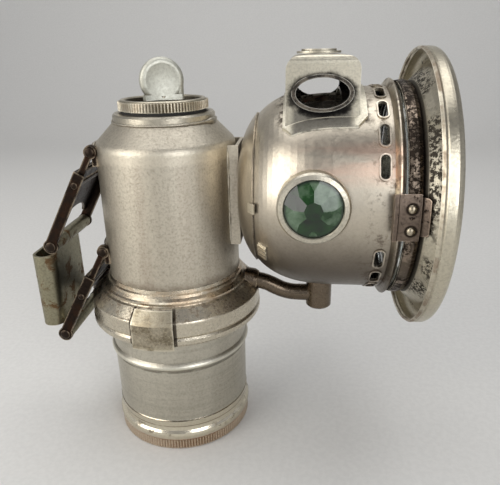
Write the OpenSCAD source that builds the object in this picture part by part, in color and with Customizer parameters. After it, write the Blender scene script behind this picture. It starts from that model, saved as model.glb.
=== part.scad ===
// Carbide bicycle lamp: water tank over a carbide container, lamp head in front, linked bracket behind.
// The origin is the centre of the container's foot. +X is the way the lamp shines, +Z is up.

/* [Carbide container] */
// Height of the container with its base cap, from the table to the top of its flange
container_h = 50; // [44:0.5:60]
// Outer radius of the container's wall
cup_r = 24; // [20:0.25:27]
// Thickness of the container's wall
cup_wall = 1; // [0.6:0.1:1.6]
// Width of the flange round the container's mouth
cup_flange = 4.1; // [3:0.1:6]
// Height of the raised band round the container above the table
cup_bead_z = 33.8; // [22:0.2:38]
// Height of the raised band round the container
cup_bead_h = 3.2; // [2:0.1:5]
// How far the raised band stands out
cup_bead_out = 1; // [0.4:0.1:1.6]

/* [Base cap] */
// Height of the base cap
base_h = 12.1; // [9:0.1:16]
// Thickness of the base cap's floor
base_floor = 1.2; // [0.8:0.1:2.5]
// Height of the milled edge
base_mill_h = 3.5; // [2:0.1:5]
// Number of grooves in the milled edge
base_mill_count = 150; // [60:1:170]
// Thickness of the gasket in the base cap
base_gasket_t = 1.4; // [0.8:0.1:2.5]

/* [Joint collar] */
// How far the skirt reaches down over the container
skirt_lap = 4.8; // [3:0.1:8]
// Height of the skirt's outer band
skirt_h = 8; // [6:0.1:12]
// Thickness of the collar's wall
collar_wall = 0.8; // [0.5:0.1:1.4]
// Height of the sloping flange above the band
slope_h = 3.4; // [2:0.1:6]
// Height of the stepped moulding under the tank
moulding_h = 4.8; // [3:0.1:8]
// Angle that the clip over the flange spans
clip_span = 26; // [14:1:40]
// Direction of the clip round the lamp, from the way it shines
clip_at = -93; // [-120:1:-60]
// Thickness of the seal between collar and container
seal_t = 1.3; // [0.8:0.1:2]

/* [Water tank] */
// Outer radius of the water tank
tank_r = 22.5; // [20:0.25:24]
// Height of the tank's straight wall
tank_h = 42.1; // [36:0.5:50]
// Thickness of the tank's wall
tank_wall = 1; // [0.6:0.1:1.6]
// Height of the tank's sloping shoulder
shoulder_h = 8.2; // [5:0.1:10]
// Width of the flat ring between the shoulder and the filler neck
shoulder_flat = 2.5; // [0.3:0.1:3]
// Rounding between the tank's wall and its sloping shoulder
shoulder_round = 3.5; // [2:0.1:5]

/* [Filler] */
// Bore of the filler neck, as a radius
neck_bore = 12.5; // [10:0.1:12.7]
// Radius of the neck's collar
neck_r = 16.2; // [15:0.1:18]
// Height of the neck's collar
neck_h = 2.2; // [1.5:0.1:4]
// Depth of the neck's threaded tube
neck_depth = 5.5; // [4:0.1:8]
// Thickness of the gasket under the filler cap
cap_gasket_t = 0.8; // [0.5:0.1:1.5]
// Outer radius of the filler cap
cap_r = 14.2; // [13.5:0.1:16]
// Height of the filler cap's milled edge
cap_h = 3.3; // [2.5:0.1:5]
// Number of grooves in the cap's milled edge
cap_mill_count = 90; // [40:1:110]
// Radius of the recess in the cap's top
cap_recess_r = 12; // [10:0.1:12.5]

/* [Regulator] */
// Radius of the regulator stem
stem_r = 1.6; // [1.2:0.1:2.2]
// Radius of the needle
needle_r = 1.2; // [0.8:0.1:1.4]
// Radius of the thumb piece's disc
thumb_r = 7; // [5:0.1:8]
// Thickness of the thumb piece
thumb_t = 3.2; // [2.4:0.1:4]
// Height of the thumb piece's top above its hub's foot
thumb_h = 12.8; // [10:0.1:15]
// How far the thumb piece is turned from facing the side
thumb_turn = 25; // [-90:5:90]
// Outer radius of the drip tube
drip_r = 3; // [2.6:0.1:4]
// Height of the drip tube's lower end above the table
drip_z = 21; // [16:0.5:26]
// Radius of the carbide plate
plate_r = 21.4; // [16:0.1:22]

/* [Lamp head] */
// Height of the head's axis above the tank's foot
head_rise = 27.9; // [24:0.1:34]
// Gap between tank and head
head_gap = 1.9; // [1.9:0.1:6]
// Radius of the head's barrel
head_r = 31.5; // [28:0.1:33]
// Length over which the head's back is rounded
head_depth = 32.5; // [26:0.5:34]
// Length of the body from its rounded back plane to its front edge
head_l = 46.1; // [43:0.1:54]
// Thickness of the head's sheet
head_wall = 0.6; // [0.4:0.1:1]
// Place of the back seam behind the head's first curve, as a turn along it
seam_turn = 42; // [36:1:50]
// How far the body's front bead stands out
head_bead = 2.3; // [1:0.1:2.6]
// Number of vent slots that would fit round the body; the catch and the hinge take the place of four
vent_places = 22; // [16:2:24]
// Width of a vent slot along the body
vent_w = 2.5; // [1.5:0.1:3.5]
// Length of a vent slot round the body
vent_l = 6.6; // [4:0.1:7.5]
// How far the lip round a vent slot stands out
vent_lip = 0.25; // [0.1:0.05:0.5]
// Height of the head bracket below the head's axis
bracket_down = 17.3; // [14:0.1:20]
// Height of the head bracket above the head's axis
bracket_up = 15.1; // [12:0.1:18]

/* [Burner and reflector] */
// Distance of the burner from the head's back plane
burner_set = 25.6; // [22:0.1:30]
// Focal length of the reflector
reflector_f = 24; // [20:0.5:25]
// How much smaller the reflector's rim is than the barrel, as a radius
reflector_in = 6.7; // [6.6:0.1:12]

/* [Jewels] */
// Distance of the jewels from the head's back plane
jewel_x = 22.1; // [18:0.1:28]
// Height of the jewels above the head's axis
jewel_rise = 2.4; // [0:0.1:5]
// Outer radius of a jewel's bezel
jewel_bezel_r = 10; // [9:0.1:12]
// Radius of a jewel
jewel_r = 8; // [6:0.1:8.4]
// Radius of the flat on top of a jewel
jewel_table_r = 2.4; // [1.5:0.1:4]
// Height of a jewel's facets
jewel_crown = 2.2; // [1:0.1:3]
// Facets round a jewel
jewel_facets = 8; // [6:1:12]

/* [Chimney hood] */
// Distance of the hood from the head's back plane
hood_x = 14.1; // [12:0.1:16]
// Length of the hood along the head
hood_l = 19.9; // [18:0.1:24]
// Width of the hood across the head
hood_w = 40; // [34:0.5:44]
// Height of the hood's top above the head's axis
hood_rise = 40.7; // [39:0.1:48]
// Rounding of the hood's top corners
hood_round = 3.5; // [1.5:0.1:5]
// Rounding between the hood's top and its two ported sides
hood_edge = 2.2; // [1:0.1:4]
// Thickness of the hood's sheet
hood_wall = 0.6; // [0.4:0.1:1]
// Width of a port
port_w = 14.4; // [10:0.1:15]
// Height of a port
port_h = 8; // [5:0.1:9]
// Height of the sheet between the saddle and a port
port_up = 2.9; // [1.2:0.1:4]
// Width of the ring round a port
port_ring = 1.2; // [0.6:0.1:1.4]

/* [Front bezel] */
// Length of the bezel from the body's edge to its front
bezel_l = 11.8; // [10:0.1:16]
// Outer radius of the bezel's rim
rim_r = 42.6; // [39:0.1:46]
// Thickness of the bezel's sheet
bezel_wall = 0.6; // [0.4:0.1:1]
// Thickness of the front glass
glass_t = 2; // [1.5:0.1:2.6]
// Height of the catch plate
catch_h = 11.5; // [8:0.1:16]

/* [Bracket] */
// Distance from a link's eye on the tank to its pivot on the socket
link_l = 35.2; // [30:0.1:40]
// How far the links hang from level at rest
link_droop = 61.1; // [52:0.1:64]
// How far the upper link's eye sits below the top of the tank's wall
link_eye_drop = 0.2; // [0.2:0.1:8]
// Height of the lower link's eye above the tank's foot
link_eye_rise = 9.1; // [8.6:0.1:14]
// Thickness of the link sheet
link_t = 0.9; // [0.6:0.1:1.2]
// Half the distance between the links' outer faces
link_half_w = 14.6; // [14:0.1:17]
// Width of the slot that takes the bicycle's lamp bracket
slot_w = 24.2; // [20:0.1:24.4]
// Thickness of the slot that takes the bicycle's lamp bracket
slot_t = 6.2; // [4.8:0.1:7]
// How much shorter the socket is than the distance between its two pivots
socket_short = 6.8; // [5.8:0.1:12]
// Thickness of the socket's wall
socket_wall = 0.9; // [0.6:0.1:1.4]

/* [Hidden] */
$fn = 96;

// Gap left where two soldered or seated pieces meet
seat = 0.05;
// Radial clearance of a pin or shaft that turns
run = 0.05;
// Room left between pieces that pass each other
clear = 0.25;
// Overlap that makes a cut run past a face
past = 1;

// Heights, from the table up
cup_z0 = base_floor + base_gasket_t + seat;
skirt_z0 = container_h - skirt_lap;
skirt_z1 = skirt_z0 + skirt_h;
seal_z1 = container_h + seal_t;
slope_z1 = skirt_z1 + slope_h;
tank_z0 = slope_z1 + moulding_h;
shoulder_z0 = tank_z0 + tank_h;
shoulder_z1 = shoulder_z0 + shoulder_h;
neck_z0 = shoulder_z1 - neck_depth;
neck_z1 = shoulder_z1 + seat + neck_h;
cap_z0 = neck_z1 + cap_gasket_t;
cap_z1 = cap_z0 + cap_h;

// Collar, from the container outwards
cup_flange_r = cup_r + cup_flange;
skirt_in = cup_flange_r + 0.5;
skirt_r = skirt_in + collar_wall;
seal_in = cup_r - cup_wall - 2.5;
slope_r = tank_r + 3.5;

// Filler cap
neck_tube_r = neck_bore + 0.9;
shoulder_w = tank_r - neck_tube_r - shoulder_flat;
plug_r = neck_bore - run;
plug_wall = 1;
plug_depth = 6;
cap_floor = 1;
boss_r = 3.4;
boss_depth = 5.2;
nut_h = 1.5;
nut_r = 4.4;
hub_z = cap_z0 + cap_floor + nut_h + clear;
hub_r = 6.2;
hub_h = 1.6;
stem_grip = 1.2;
stem_z0 = cap_z0 - boss_depth + 0.7;

// Drip tube and needle seat
drip_bore = drip_r - 1;
drip_flange_r = drip_r + 2.2;
drip_top = tank_z0 + tank_wall + 1.2;
needle_hole = 0.8;
needle_seat = 1.6;
needle_cone = 1.1;
plate_z = 30;
plate_t = 0.8;
plate_hub_h = 3;
felt_t = 1.15;
filter_t = 0.6;
filter_r = cup_r - cup_wall - 1.6;
filter_z0 = seal_z1 - felt_t - filter_t - seat;
spring_r = drip_r + 2.6;
spring_wire = 0.6;
spring_turns = 6;
spring_steps = 20;
spring_sides = 6;

// Lamp head, along X from its back plane
head_z = tank_z0 + head_rise;
head_x = tank_r + head_gap + 0.6;
head_x1 = head_x + head_l;
head_power = 2.8;
head_start = 17;
head_vertex = head_x - 1;
cap_lap = 0.1;
back_wall = 0.5;
head_bead_w = 2.7;
burner_x = head_x + burner_set;
burner_tube_r = 2.4;
vent_x = head_x1 - 5.4;
vent_rim = 0.4;
jewel_cx = head_x + jewel_x;
jewel_cz = head_z + jewel_rise;
jewel_girdle = 1;
jewel_kite = 0.55;
hood_x0 = head_x + hood_x;
hood_x1 = hood_x0 + hood_l;
hood_xm = (hood_x0 + hood_x1) / 2;
hood_top = head_z + hood_rise;
hood_crown = 0.4;
port_z = head_z + sqrt(head_r * head_r - hood_w * hood_w / 4) + port_up + port_h / 2;
flue_l = 11.5;
flue_w = 26;
reflector_x = burner_x - reflector_f;
reflector_r = head_r - reflector_in;

// Bezel
bezel_x0 = head_x1 + 0.2;
bezel_x1 = bezel_x0 + bezel_l;
neck_bezel_r = head_r + 1.5;
glass_x1 = bezel_x0 + 3.1;
glass_r = neck_bezel_r - bezel_wall - 0.15;
glass_wire = 0.45;
catch_turn = 1.5;
catch_half = asin(catch_h / 2 / head_r);
catch_in = head_r + head_bead + clear;
catch_t = 0.8;
leaf_t = 0.5;
leaf_l = 5.9;
leaf_round = 1.4;
hinge_x = head_x1 - 1.1;
hinge_y = head_r + head_bead + 2.2;
hinge_r = 1.7;
hinge_pin_r = 0.9;
hinge_h = 10;
hinge_out = head_r + head_bead + 1.1;

// Gas pipe: straight runs and bends, as [length, 0] or [bend radius, angle]
pipe_r = 2.85;
pipe_bore = 2.1;
pipe_sleeve = 0.05;
pipe_x0 = slope_r - 1.6;
pipe_z0 = slope_z1 - 0.2;
pipe_slope = 10;
pipe_dive = 17;
pipe_bend = 16;
pipe_level_z = pipe_end(pipe_runs(0))[1];
pipe_tail = burner_x - 3 - pipe_end(pipe_runs(0))[0];
socket_r = 4.4;
socket_z0 = pipe_level_z - 4.7;
socket_top = head_z - head_r - seat;
burner_tube_z0 = pipe_level_z + pipe_r + 0.1;
burner_tube_z1 = head_z - 11;

// Bracket links, in the plane through the lamp's axis
eye_x = -max(tank_r - 1.9, skirt_r - 8.8);
upper_z = shoulder_z0 - link_eye_drop;
lower_z = tank_z0 + link_eye_rise;
socket_h = upper_z - lower_z - socket_short;
link_turn = 180 - link_droop;
pivot_x = eye_x - link_l * cos(link_droop);
pivot_drop = link_l * sin(link_droop);
ear_y = 11.7;
ear_t = 1;
yoke_y = link_half_w - 2 * link_t + 0.1;
yoke_t = link_t - 0.1;
ear_r = 2.2;
lug_pin_r = 1;
pivot_pin_r = 1.1;
knuckle_r = 2.3;
knuckle_half = link_half_w - link_t - 0.3;
web_out = -2.1;
web_in = 1.5;
upper_start = 7.6;
upper_rivet = 11.8;
lower_start = 10.6;
lower_rivet = 18.4;
socket_out_x = pivot_x - knuckle_r - slot_t - socket_wall;
socket_r_end = slot_t / 2 + socket_wall;
socket_cx = socket_out_x + socket_r_end;
socket_bottom = upper_z - pivot_drop - 4.5 - socket_h;
stud_up = 5;
stud_shank_r = 0.5;
head_rivets = [for (up = [-11, 9], side = [-4, 4]) [side, head_z + up]];
head_rivet_r = 0.8;
nickel = [0.72, 0.7, 0.64];
tarnish = [0.45, 0.42, 0.37];
brass = [0.66, 0.52, 0.3];
japan = [0.14, 0.12, 0.11];

function unit(v) = v / norm(v);
function left_of(v) = [-v[1], v[0]];
function edge_normal(p, i) = left_of(unit(p[i + 1] - p[i]));
function join_normal(a, b) = (a + b) / (1 + a * b);
function point_normal(p, i) =
    i == 0 ? edge_normal(p, 0)
    : i == len(p) - 1 ? edge_normal(p, i - 1)
    : join_normal(edge_normal(p, i - 1), edge_normal(p, i));
function offset_path(p, d) = [for (i = [0 : len(p) - 1]) p[i] + d * point_normal(p, i)];
function reversed(p) = [for (i = [len(p) - 1 : -1 : 0]) p[i]];
// Outline of a sheet that follows a path, with its thickness on the path's left
function sheet(p, t) = concat(p, reversed(offset_path(p, t)));
// Half wave that stands out of a straight wall, as points [outwards, along]
function bead_wave(r, z, out, h, n = 8) =
    [for (i = [0 : n]) [r + out * sin(180 * i / n), z - h / 2 + h * i / n]];
function arc(cx, cy, r, a0, a1, n) =
    [for (i = [0 : n]) [cx + r * cos(a0 + (a1 - a0) * i / n), cy + r * sin(a0 + (a1 - a0) * i / n)]];
function ellipse_points(a, b, n = 64) =
    [for (i = [0 : n - 1]) [a * cos(360 * i / n), b * sin(360 * i / n)]];
// The head's outer curve: a rounded back that runs into a straight barrel
function head_point(a) = [
    head_r * pow(sin(a), 2 / head_power),
    max(head_x, head_vertex + head_depth * (1 - pow(cos(a), 2 / head_power)))
];
function head_curve(a0, a1, n) = [for (i = [0 : n]) head_point(a0 + (a1 - a0) * i / n)];
// Where a run of straight lengths and bends ends, as [x, z, heading]
function pipe_step(s, run_) = run_[1] == 0
    ? [s[0] + run_[0] * cos(s[2]), s[1] - run_[0] * sin(s[2]), s[2]]
    : let (g = sign(run_[1]), b = s[2] + run_[1])
        [s[0] + g * run_[0] * (sin(b) - sin(s[2])), s[1] + g * run_[0] * (cos(b) - cos(s[2])), b];
function pipe_end(runs, i = 0, s = [pipe_x0, pipe_z0, pipe_slope]) =
    i == len(runs) ? s : pipe_end(runs, i + 1, pipe_step(s, runs[i]));
function pipe_runs(tail) = [
    [5, 0], [pipe_bend, pipe_dive], [2.4, 0], [pipe_bend, -pipe_slope - pipe_dive], [max(tail, 0.01), 0]
];

module ring(r_out, r_in, z0, z1) {
    translate([0, 0, z0]) difference() {
        cylinder(h = z1 - z0, r = r_out);
        translate([0, 0, -past]) cylinder(h = z1 - z0 + 2 * past, r = r_in);
    }
}

// Ring with vertical grooves cut round its edge
module milled_ring(r, r_in, z0, z1, count, depth) {
    points = [for (i = [0 : count - 1], k = [0, 1, 2])
        let (a = 360 * (i + k * 0.3) / count, q = k == 1 ? r : r - depth * (k == 0 ? 1 : 0))
        [q * cos(a), q * sin(a)]];
    translate([0, 0, z0]) linear_extrude(z1 - z0) difference() {
        polygon(points);
        circle(r_in);
    }
}

module along_head() translate([0, 0, head_z]) rotate([0, 90, 0]) children();

// Part of a ring about the head's axis; 90 is the far side, -90 the near side
module head_sector(centre, half) along_head() rotate(centre - half)
    rotate_extrude(angle = 2 * half) children();

// Points outwards from the head's axis at a direction and a place along it
module head_spoke(turn, x) along_head() rotate(turn) translate([0, 0, x]) rotate([0, 90, 0]) children();

// Solid inside the head's outer surface, grown by g
module head_solid(g) {
    curve = concat([[0, head_x]], head_curve(head_start, 90, 16), [[head_r, head_x1]]);
    grown = offset_path(curve, -g);
    along_head() rotate_extrude() polygon(concat(grown, [[0, head_x1]]));
}

// Solid inside the tank's outer surface, grown by g
module tank_solid(g) {
    rotate_extrude() polygon(concat(
        [[0, tank_z0 - g], [tank_r + g, tank_z0 - g]],
        offset_path(shoulder_path(), -g),
        [[0, shoulder_z1 + g]]
    ));
}

// Both sides of the lamp's middle plane
module both_sides() {
    children();
    mirror([0, 1, 0]) children();
}

module dome_rivet(r, h, shank_r, shank_l) {
    rotate_extrude() polygon(concat([[0, -shank_l], [shank_r, -shank_l], [shank_r, 0], [r, 0]],
        [for (a = [15 : 15 : 90]) [r * cos(a), h * sin(a)]]));
}

// The shoulder: a rounded corner, then a straight slope up to the flat ring round the neck
function shoulder_path() =
    let (side = shoulder_w - shoulder_round,
        end = 180 - atan2(shoulder_h, side) - acos(shoulder_round / norm([side, shoulder_h])))
    concat(arc(tank_r - shoulder_round, shoulder_z0, shoulder_round, 0, end, 6),
        [[tank_r - shoulder_w, shoulder_z1]]);

module water_tank() color(nickel) {
    path = concat([[drip_r + seat, tank_z0], [tank_r, tank_z0]], shoulder_path(),
        [[neck_tube_r + seat, shoulder_z1]]);
    rotate_extrude() polygon(sheet(path, tank_wall));
}

module filler_neck() color(nickel) rotate_extrude() polygon([
    [neck_bore, neck_z0], [neck_tube_r, neck_z0], [neck_tube_r, shoulder_z1 + seat],
    [neck_r, shoulder_z1 + seat],
    [neck_r, neck_z1 - 0.6], [neck_r - 0.5, neck_z1], [neck_bore, neck_z1]
]);

module cap_gasket() color("black") ring(cap_r - 0.8, neck_bore + 0.1, neck_z1, cap_z0);

module filler_cap() color(nickel) {
    rotate_extrude() polygon([
        [stem_r + run, cap_z0 - boss_depth], [boss_r, cap_z0 - boss_depth], [boss_r, cap_z0],
        [plug_r - plug_wall, cap_z0], [plug_r - plug_wall, cap_z0 - plug_depth],
        [plug_r, cap_z0 - plug_depth],
        [plug_r, cap_z0], [cap_r - 0.7, cap_z0], [cap_r - 0.7, cap_z1 - 0.3], [cap_r - 1, cap_z1],
        [cap_recess_r + 0.3, cap_z1], [cap_recess_r, cap_z1 - 0.4],
        [cap_recess_r, cap_z0 + cap_floor], [stem_r + run, cap_z0 + cap_floor]
    ]);
    milled_ring(cap_r, cap_recess_r + 0.6, cap_z0 + 0.2, cap_z1 - 0.5, cap_mill_count, 0.4);
}

module gland_nut() color(brass) translate([0, 0, cap_z0 + cap_floor]) difference() {
    cylinder(h = nut_h, r = nut_r, $fn = 6);
    translate([0, 0, -past]) cylinder(h = nut_h + 2 * past, r = stem_r + run);
}

module regulator_stem() color(brass)
    translate([0, 0, stem_z0]) cylinder(h = hub_z + stem_grip - seat - stem_z0, r = stem_r);

module needle_valve() color(brass) {
    tip = drip_top - needle_cone;
    rotate_extrude() polygon([
        [0, tip], [0.25, tip], [needle_r, tip + needle_cone + 0.1], [needle_r, stem_z0 - seat],
        [0, stem_z0 - seat]
    ]);
}

module thumb_piece() color("gainsboro") {
    dish = thumb_r - 1.8;
    dish_depth = 0.7;
    dish_sphere = (dish * dish + dish_depth * dish_depth) / 2 / dish_depth;
    edge = thumb_t / 2;
    difference() {
        union() {
            translate([0, 0, hub_z]) cylinder(h = hub_h, r = hub_r);
            rotate(thumb_turn) {
                translate([0, 0, hub_z + thumb_h - thumb_r]) rotate([90, 0, 0]) rotate_extrude()
                    polygon(concat([[0, -edge]], arc(thumb_r - edge, 0, edge, -90, 90, 10), [[0, edge]]));
                translate([thumb_r - edge - 0.1, 0, hub_z]) cylinder(h = thumb_h - thumb_r, r = edge - 0.1);
            }
        }
        rotate(thumb_turn) both_sides()
            translate([0, dish_sphere + edge - dish_depth, hub_z + thumb_h - thumb_r])
            sphere(dish_sphere);
        translate([0, 0, hub_z - thumb_r]) cylinder(h = thumb_r, r = 2 * thumb_r);
        translate([0, 0, hub_z - past]) cylinder(h = stem_grip + past, r = stem_r + seat / 2);
    }
}

module joint_collar() color(nickel) {
    path = concat(
        [[skirt_r - 0.1, skirt_z0], [skirt_r + 0.25, skirt_z0 + 0.6], [skirt_r + 0.25, skirt_z0 + 2],
            [skirt_r - 0.3, skirt_z0 + 2.7], [skirt_r, skirt_z0 + 3.3]],
        arc(skirt_r - 1, skirt_z1 - 0.4, 1, 0, 60, 3),
        [[slope_r, slope_z1], [slope_r - 0.8, slope_z1 + 0.3], [tank_r + 2.5, slope_z1 + 0.6],
            [tank_r + 2.5, slope_z1 + 1.3], [tank_r + 1.9, slope_z1 + 1.7], [tank_r + 1.2, slope_z1 + 2.5],
            [tank_r + 1, slope_z1 + 3.3], [tank_r + 0.4, slope_z1 + 3.6], [tank_r + 0.2, tank_z0 - seat],
            [tank_r - 2, tank_z0 - seat]]
    );
    difference() {
        rotate_extrude() {
            polygon(sheet(path, collar_wall));
            translate([seal_in, seal_z1]) square([skirt_in - seal_in + collar_wall / 2, 0.7]);
        }
        gas_run(pipe_r + seat);
    }
}

module collar_clip() color(tarnish) {
    out = skirt_r + 0.35;
    path = [[out, skirt_z0 - 0.9], [out, skirt_z1 - 0.6], [out - 0.5, skirt_z1 + 0.3],
        [slope_r + 0.6, slope_z1 - 0.1]];
    rotate(clip_at - clip_span / 2) rotate_extrude(angle = clip_span) polygon(sheet(path, -0.5));
}

module seal_ring() color("dimgray") ring(cup_flange_r, seal_in + 2.6, container_h, seal_z1);

module filter_felt() color("tan") ring(filter_r, drip_r + seat, seal_z1 - felt_t, seal_z1);

module filter_plate() color(brass) difference() {
    ring(filter_r, drip_r + seat, filter_z0, filter_z0 + filter_t);
    for (circle_ = [[8.5, 10], [13, 16], [17.5, 20]], i = [1 : circle_[1]])
        rotate(360 * i / circle_[1]) translate([circle_[0], 0, filter_z0 - past])
            cylinder(h = filter_t + 2 * past, r = 0.8, $fn = 24);
}

module drip_tube() color(brass) difference() {
    rotate_extrude() polygon([
        [drip_bore, drip_z], [drip_r, drip_z], [drip_r, tank_z0 + tank_wall],
        [drip_flange_r, tank_z0 + tank_wall],
        [drip_flange_r, drip_top], [needle_seat, drip_top], [needle_hole, drip_top - 0.9],
        [needle_hole, tank_z0 - 1], [drip_bore, tank_z0 - 1 - drip_bore + needle_hole]
    ]);
    for (turn = [0, 90], up = [2, 5])
        translate([0, 0, drip_z + up]) rotate([90, 0, turn + 9 * up])
            cylinder(h = 4 * drip_r, r = 0.6, center = true);
}

module carbide_plate() color(tarnish) difference() {
    rotate_extrude() polygon([
        [drip_r + run, plate_z], [plate_r, plate_z], [plate_r, plate_z + plate_t],
        [drip_r + 1.5, plate_z + plate_t],
        [drip_r + 1.2, plate_z + plate_hub_h], [drip_r + run, plate_z + plate_hub_h]
    ]);
    for (circle_ = [[9.5, 10], [16, 16]], i = [1 : circle_[1]])
        rotate(360 * i / circle_[1]) translate([circle_[0], 0, plate_z - past])
            cylinder(h = plate_t + 2 * past, r = 1.2, $fn = 24);
}

module carbide_spring() color("slategray") {
    z0 = plate_z + plate_t + spring_wire + 0.05;
    rise = filter_z0 - spring_wire - 0.05 - z0;
    steps = spring_turns * spring_steps;
    points = [for (i = [0 : steps], k = [0 : spring_sides - 1])
        let (a = 360 * i / spring_steps, b = 360 * k / spring_sides, q = spring_r + spring_wire * cos(b))
            [q * cos(a), q * sin(a), z0 + rise * i / steps + spring_wire * sin(b)]];
    quads = [for (i = [0 : steps - 1], k = [0 : spring_sides - 1])
        let (n = (k + 1) % spring_sides, p = i * spring_sides)
            [p + k, p + spring_sides + k, p + spring_sides + n, p + n]];
    sides = [for (q = quads, t = [[q[0], q[1], q[2]], [q[0], q[2], q[3]]]) t];
    first = [for (k = [1 : spring_sides - 2]) [0, k, k + 1]];
    last = [for (k = [1 : spring_sides - 2]) let (p = steps * spring_sides) [p, p + k + 1, p + k]];
    polyhedron(points, concat(sides, first, last));
}

module carbide_cup() color(nickel) {
    tube_r = cup_r - 1.2;
    path = concat(
        [[tube_r, cup_z0], [tube_r, base_h + 0.1], [cup_r - 0.2, base_h + 0.1]],
        bead_wave(cup_r, cup_bead_z, cup_bead_out, cup_bead_h),
        [[cup_r + 0.1, container_h - cup_wall], [cup_flange_r, container_h - cup_wall]]
    );
    rotate_extrude() polygon(sheet(path, cup_wall));
}

module base_gasket() color("black") ring(cup_r - 1.4, cup_r - 4.6, base_floor, base_floor + base_gasket_t);

module base_cap() color(nickel) {
    top_r = cup_r;
    mill_z1 = 0.4 + base_mill_h;
    bead_z = mill_z1 + 2.1;
    in_r = cup_r - 1.2 + 0.1;
    outline = concat(
        [[0, 0], [cup_r - 0.6, 0], [cup_r - 0.25, 0.4], [cup_r - 0.2, mill_z1],
        [cup_r + 0.35, mill_z1 + 0.3]],
        [[cup_r + 0.65, bead_z - 0.7], [cup_r + 0.7, bead_z], [cup_r + 0.45, bead_z + 0.9]],
        [[cup_r - 0.1, base_h - 4.3], [cup_r - 0.35, base_h - 3.2], [cup_r - 0.35, base_h - 2.2]],
        [[top_r - 0.3, base_h - 1.8], [top_r, base_h - 1.6], [top_r, base_h - 0.3], [top_r - 0.3, base_h]],
        [[in_r, base_h], [in_r, base_floor], [0, base_floor]]
    );
    rotate_extrude() polygon(outline);
    milled_ring(cup_r + 0.3, cup_r - 0.6, 0.4, mill_z1, base_mill_count, 0.4);
}

// Round bar along straight lengths and bends; the bends run a little way into the straight sleeves
module bent_run(runs, r, i = 0) {
    if (i < len(runs)) {
        size = runs[i][0];
        turn = runs[i][1];
        if (turn == 0) {
            cylinder(h = size, r = r + pipe_sleeve);
            translate([0, 0, size]) bent_run(runs, r, i + 1);
        } else {
            rotate(turn > 0 ? 0 : 180) translate([size, 0, 0]) rotate([90, 0, 0]) rotate(179 - abs(turn))
                rotate_extrude(angle = abs(turn) + 2) translate([size, 0]) circle(r);
            translate([sign(turn) * size * (1 - cos(turn)), 0, size * sin(abs(turn))]) rotate([0, turn, 0])
                bent_run(runs, r, i + 1);
        }
    }
}

module gas_run(r, extra = 0) translate([pipe_x0, 0, pipe_z0]) rotate([0, 90 + pipe_slope, 0]) {
    translate([0, 0, -extra]) cylinder(h = extra + past, r = r + pipe_sleeve);
    bent_run(pipe_runs(pipe_tail + extra), r);
}

module gas_pipe() color(tarnish) difference() {
    gas_run(pipe_r);
    gas_run(pipe_bore, past);
}

module gas_union() color(tarnish) difference() {
    translate([pipe_x0, 0, pipe_z0]) rotate([0, 90 + pipe_slope, 0]) rotate_extrude() polygon([
        [pipe_r + pipe_sleeve + seat, 0], [pipe_r + 1, 0], [pipe_r + 1, 3.4], [pipe_r + 0.5, 4.6],
        [pipe_r + pipe_sleeve + seat, 4.6]
    ]);
    rotate_extrude() polygon([[0, skirt_z0], [skirt_r + 2 * seat, skirt_z0],
        [skirt_r + 2 * seat, skirt_z1 - 0.3],
        [skirt_r - 0.4, skirt_z1 + 0.6], [slope_r + 0.1, slope_z1 + 0.1], [slope_r - 0.6, slope_z1 + 0.5],
        [tank_r + 2.6, slope_z1 + 0.7], [tank_r + 2.6, slope_z1 + 2], [tank_r + 1.5, slope_z1 + 3],
        [tank_r + 0.6, tank_z0], [0, tank_z0]]);
}

module burner_socket() color(tarnish) difference() {
    translate([burner_x, 0, 0]) rotate_extrude() polygon([
        [0, socket_z0], [socket_r - 0.6, socket_z0], [socket_r, socket_z0 + 0.6], [socket_r, socket_top],
        [burner_tube_r + seat, socket_top], [burner_tube_r + seat, socket_z0 + 1.6], [0, socket_z0 + 1.6]
    ]);
    gas_run(pipe_r + seat);
}

module burner_tube() color(brass) translate([burner_x, 0, 0])
    ring(burner_tube_r, burner_tube_r - 0.8, burner_tube_z0, burner_tube_z1);

module burner_tip() color("wheat") translate([burner_x, 0, burner_tube_z1]) {
    rotate_extrude() polygon([
        [0.9, 0], [3, 0], [3, 2.6], [2.6, 3.2], [2.6, 3.8], [2.2, 4.8], [1.2, 5.5], [0, 5.7], [0, 3],
        [0.9, 3]
    ]);
    both_sides() translate([0, 1.5, 3.4]) rotate([-45, 0, 0]) rotate_extrude() polygon([
        [0, 0], [1.3, 0], [1.3, 5], [1.1, 5.9], [0.5, 6.5], [0, 6.6]
    ]);
}

module head_bracket() color(tarnish) {
    web = 0.95;
    half_w = 8;
    low = head_z - bracket_down;
    high = head_z + bracket_up;
    front = head_x - 0.65;
    difference() {
        translate([tank_r - 3, -half_w, low]) cube([front - tank_r + 3, 2 * half_w, high - low]);
        translate([tank_r - 3 - past, web - half_w, low - past])
            cube([front - web - tank_r + 3 + past, 2 * (half_w - web), high - low + 2 * past]);
        tank_solid(seat);
        for (at = head_rivets)
            translate([tank_r, at[0], at[1]]) rotate([0, 90, 0])
                cylinder(h = 4 * past, r = head_rivet_r + seat);
    }
}

module bracket_rivets() color(brass)
    for (at = head_rivets)
        translate([head_x - 0.65 - 0.95, at[0], at[1]]) rotate([0, -90, 0])
            dome_rivet(1.4, 0.6, head_rivet_r, 2.2);

// Places its children on the barrel at each vent slot, with X along the head
module vents() for (i = [1 : vent_places / 2 - 2], side = [-1, 1])
    head_spoke(-90 + side * (i + 0.5) * 360 / vent_places, vent_x)
        translate([0, 0, head_r - head_wall / 2]) children();

module vent_shape(grow) {
    flat = vent_l - vent_w;
    square([vent_w + 2 * grow, flat], center = true);
    for (end = [-1, 1]) translate([0, end * flat / 2]) circle(vent_w / 2 + grow);
}

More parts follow.
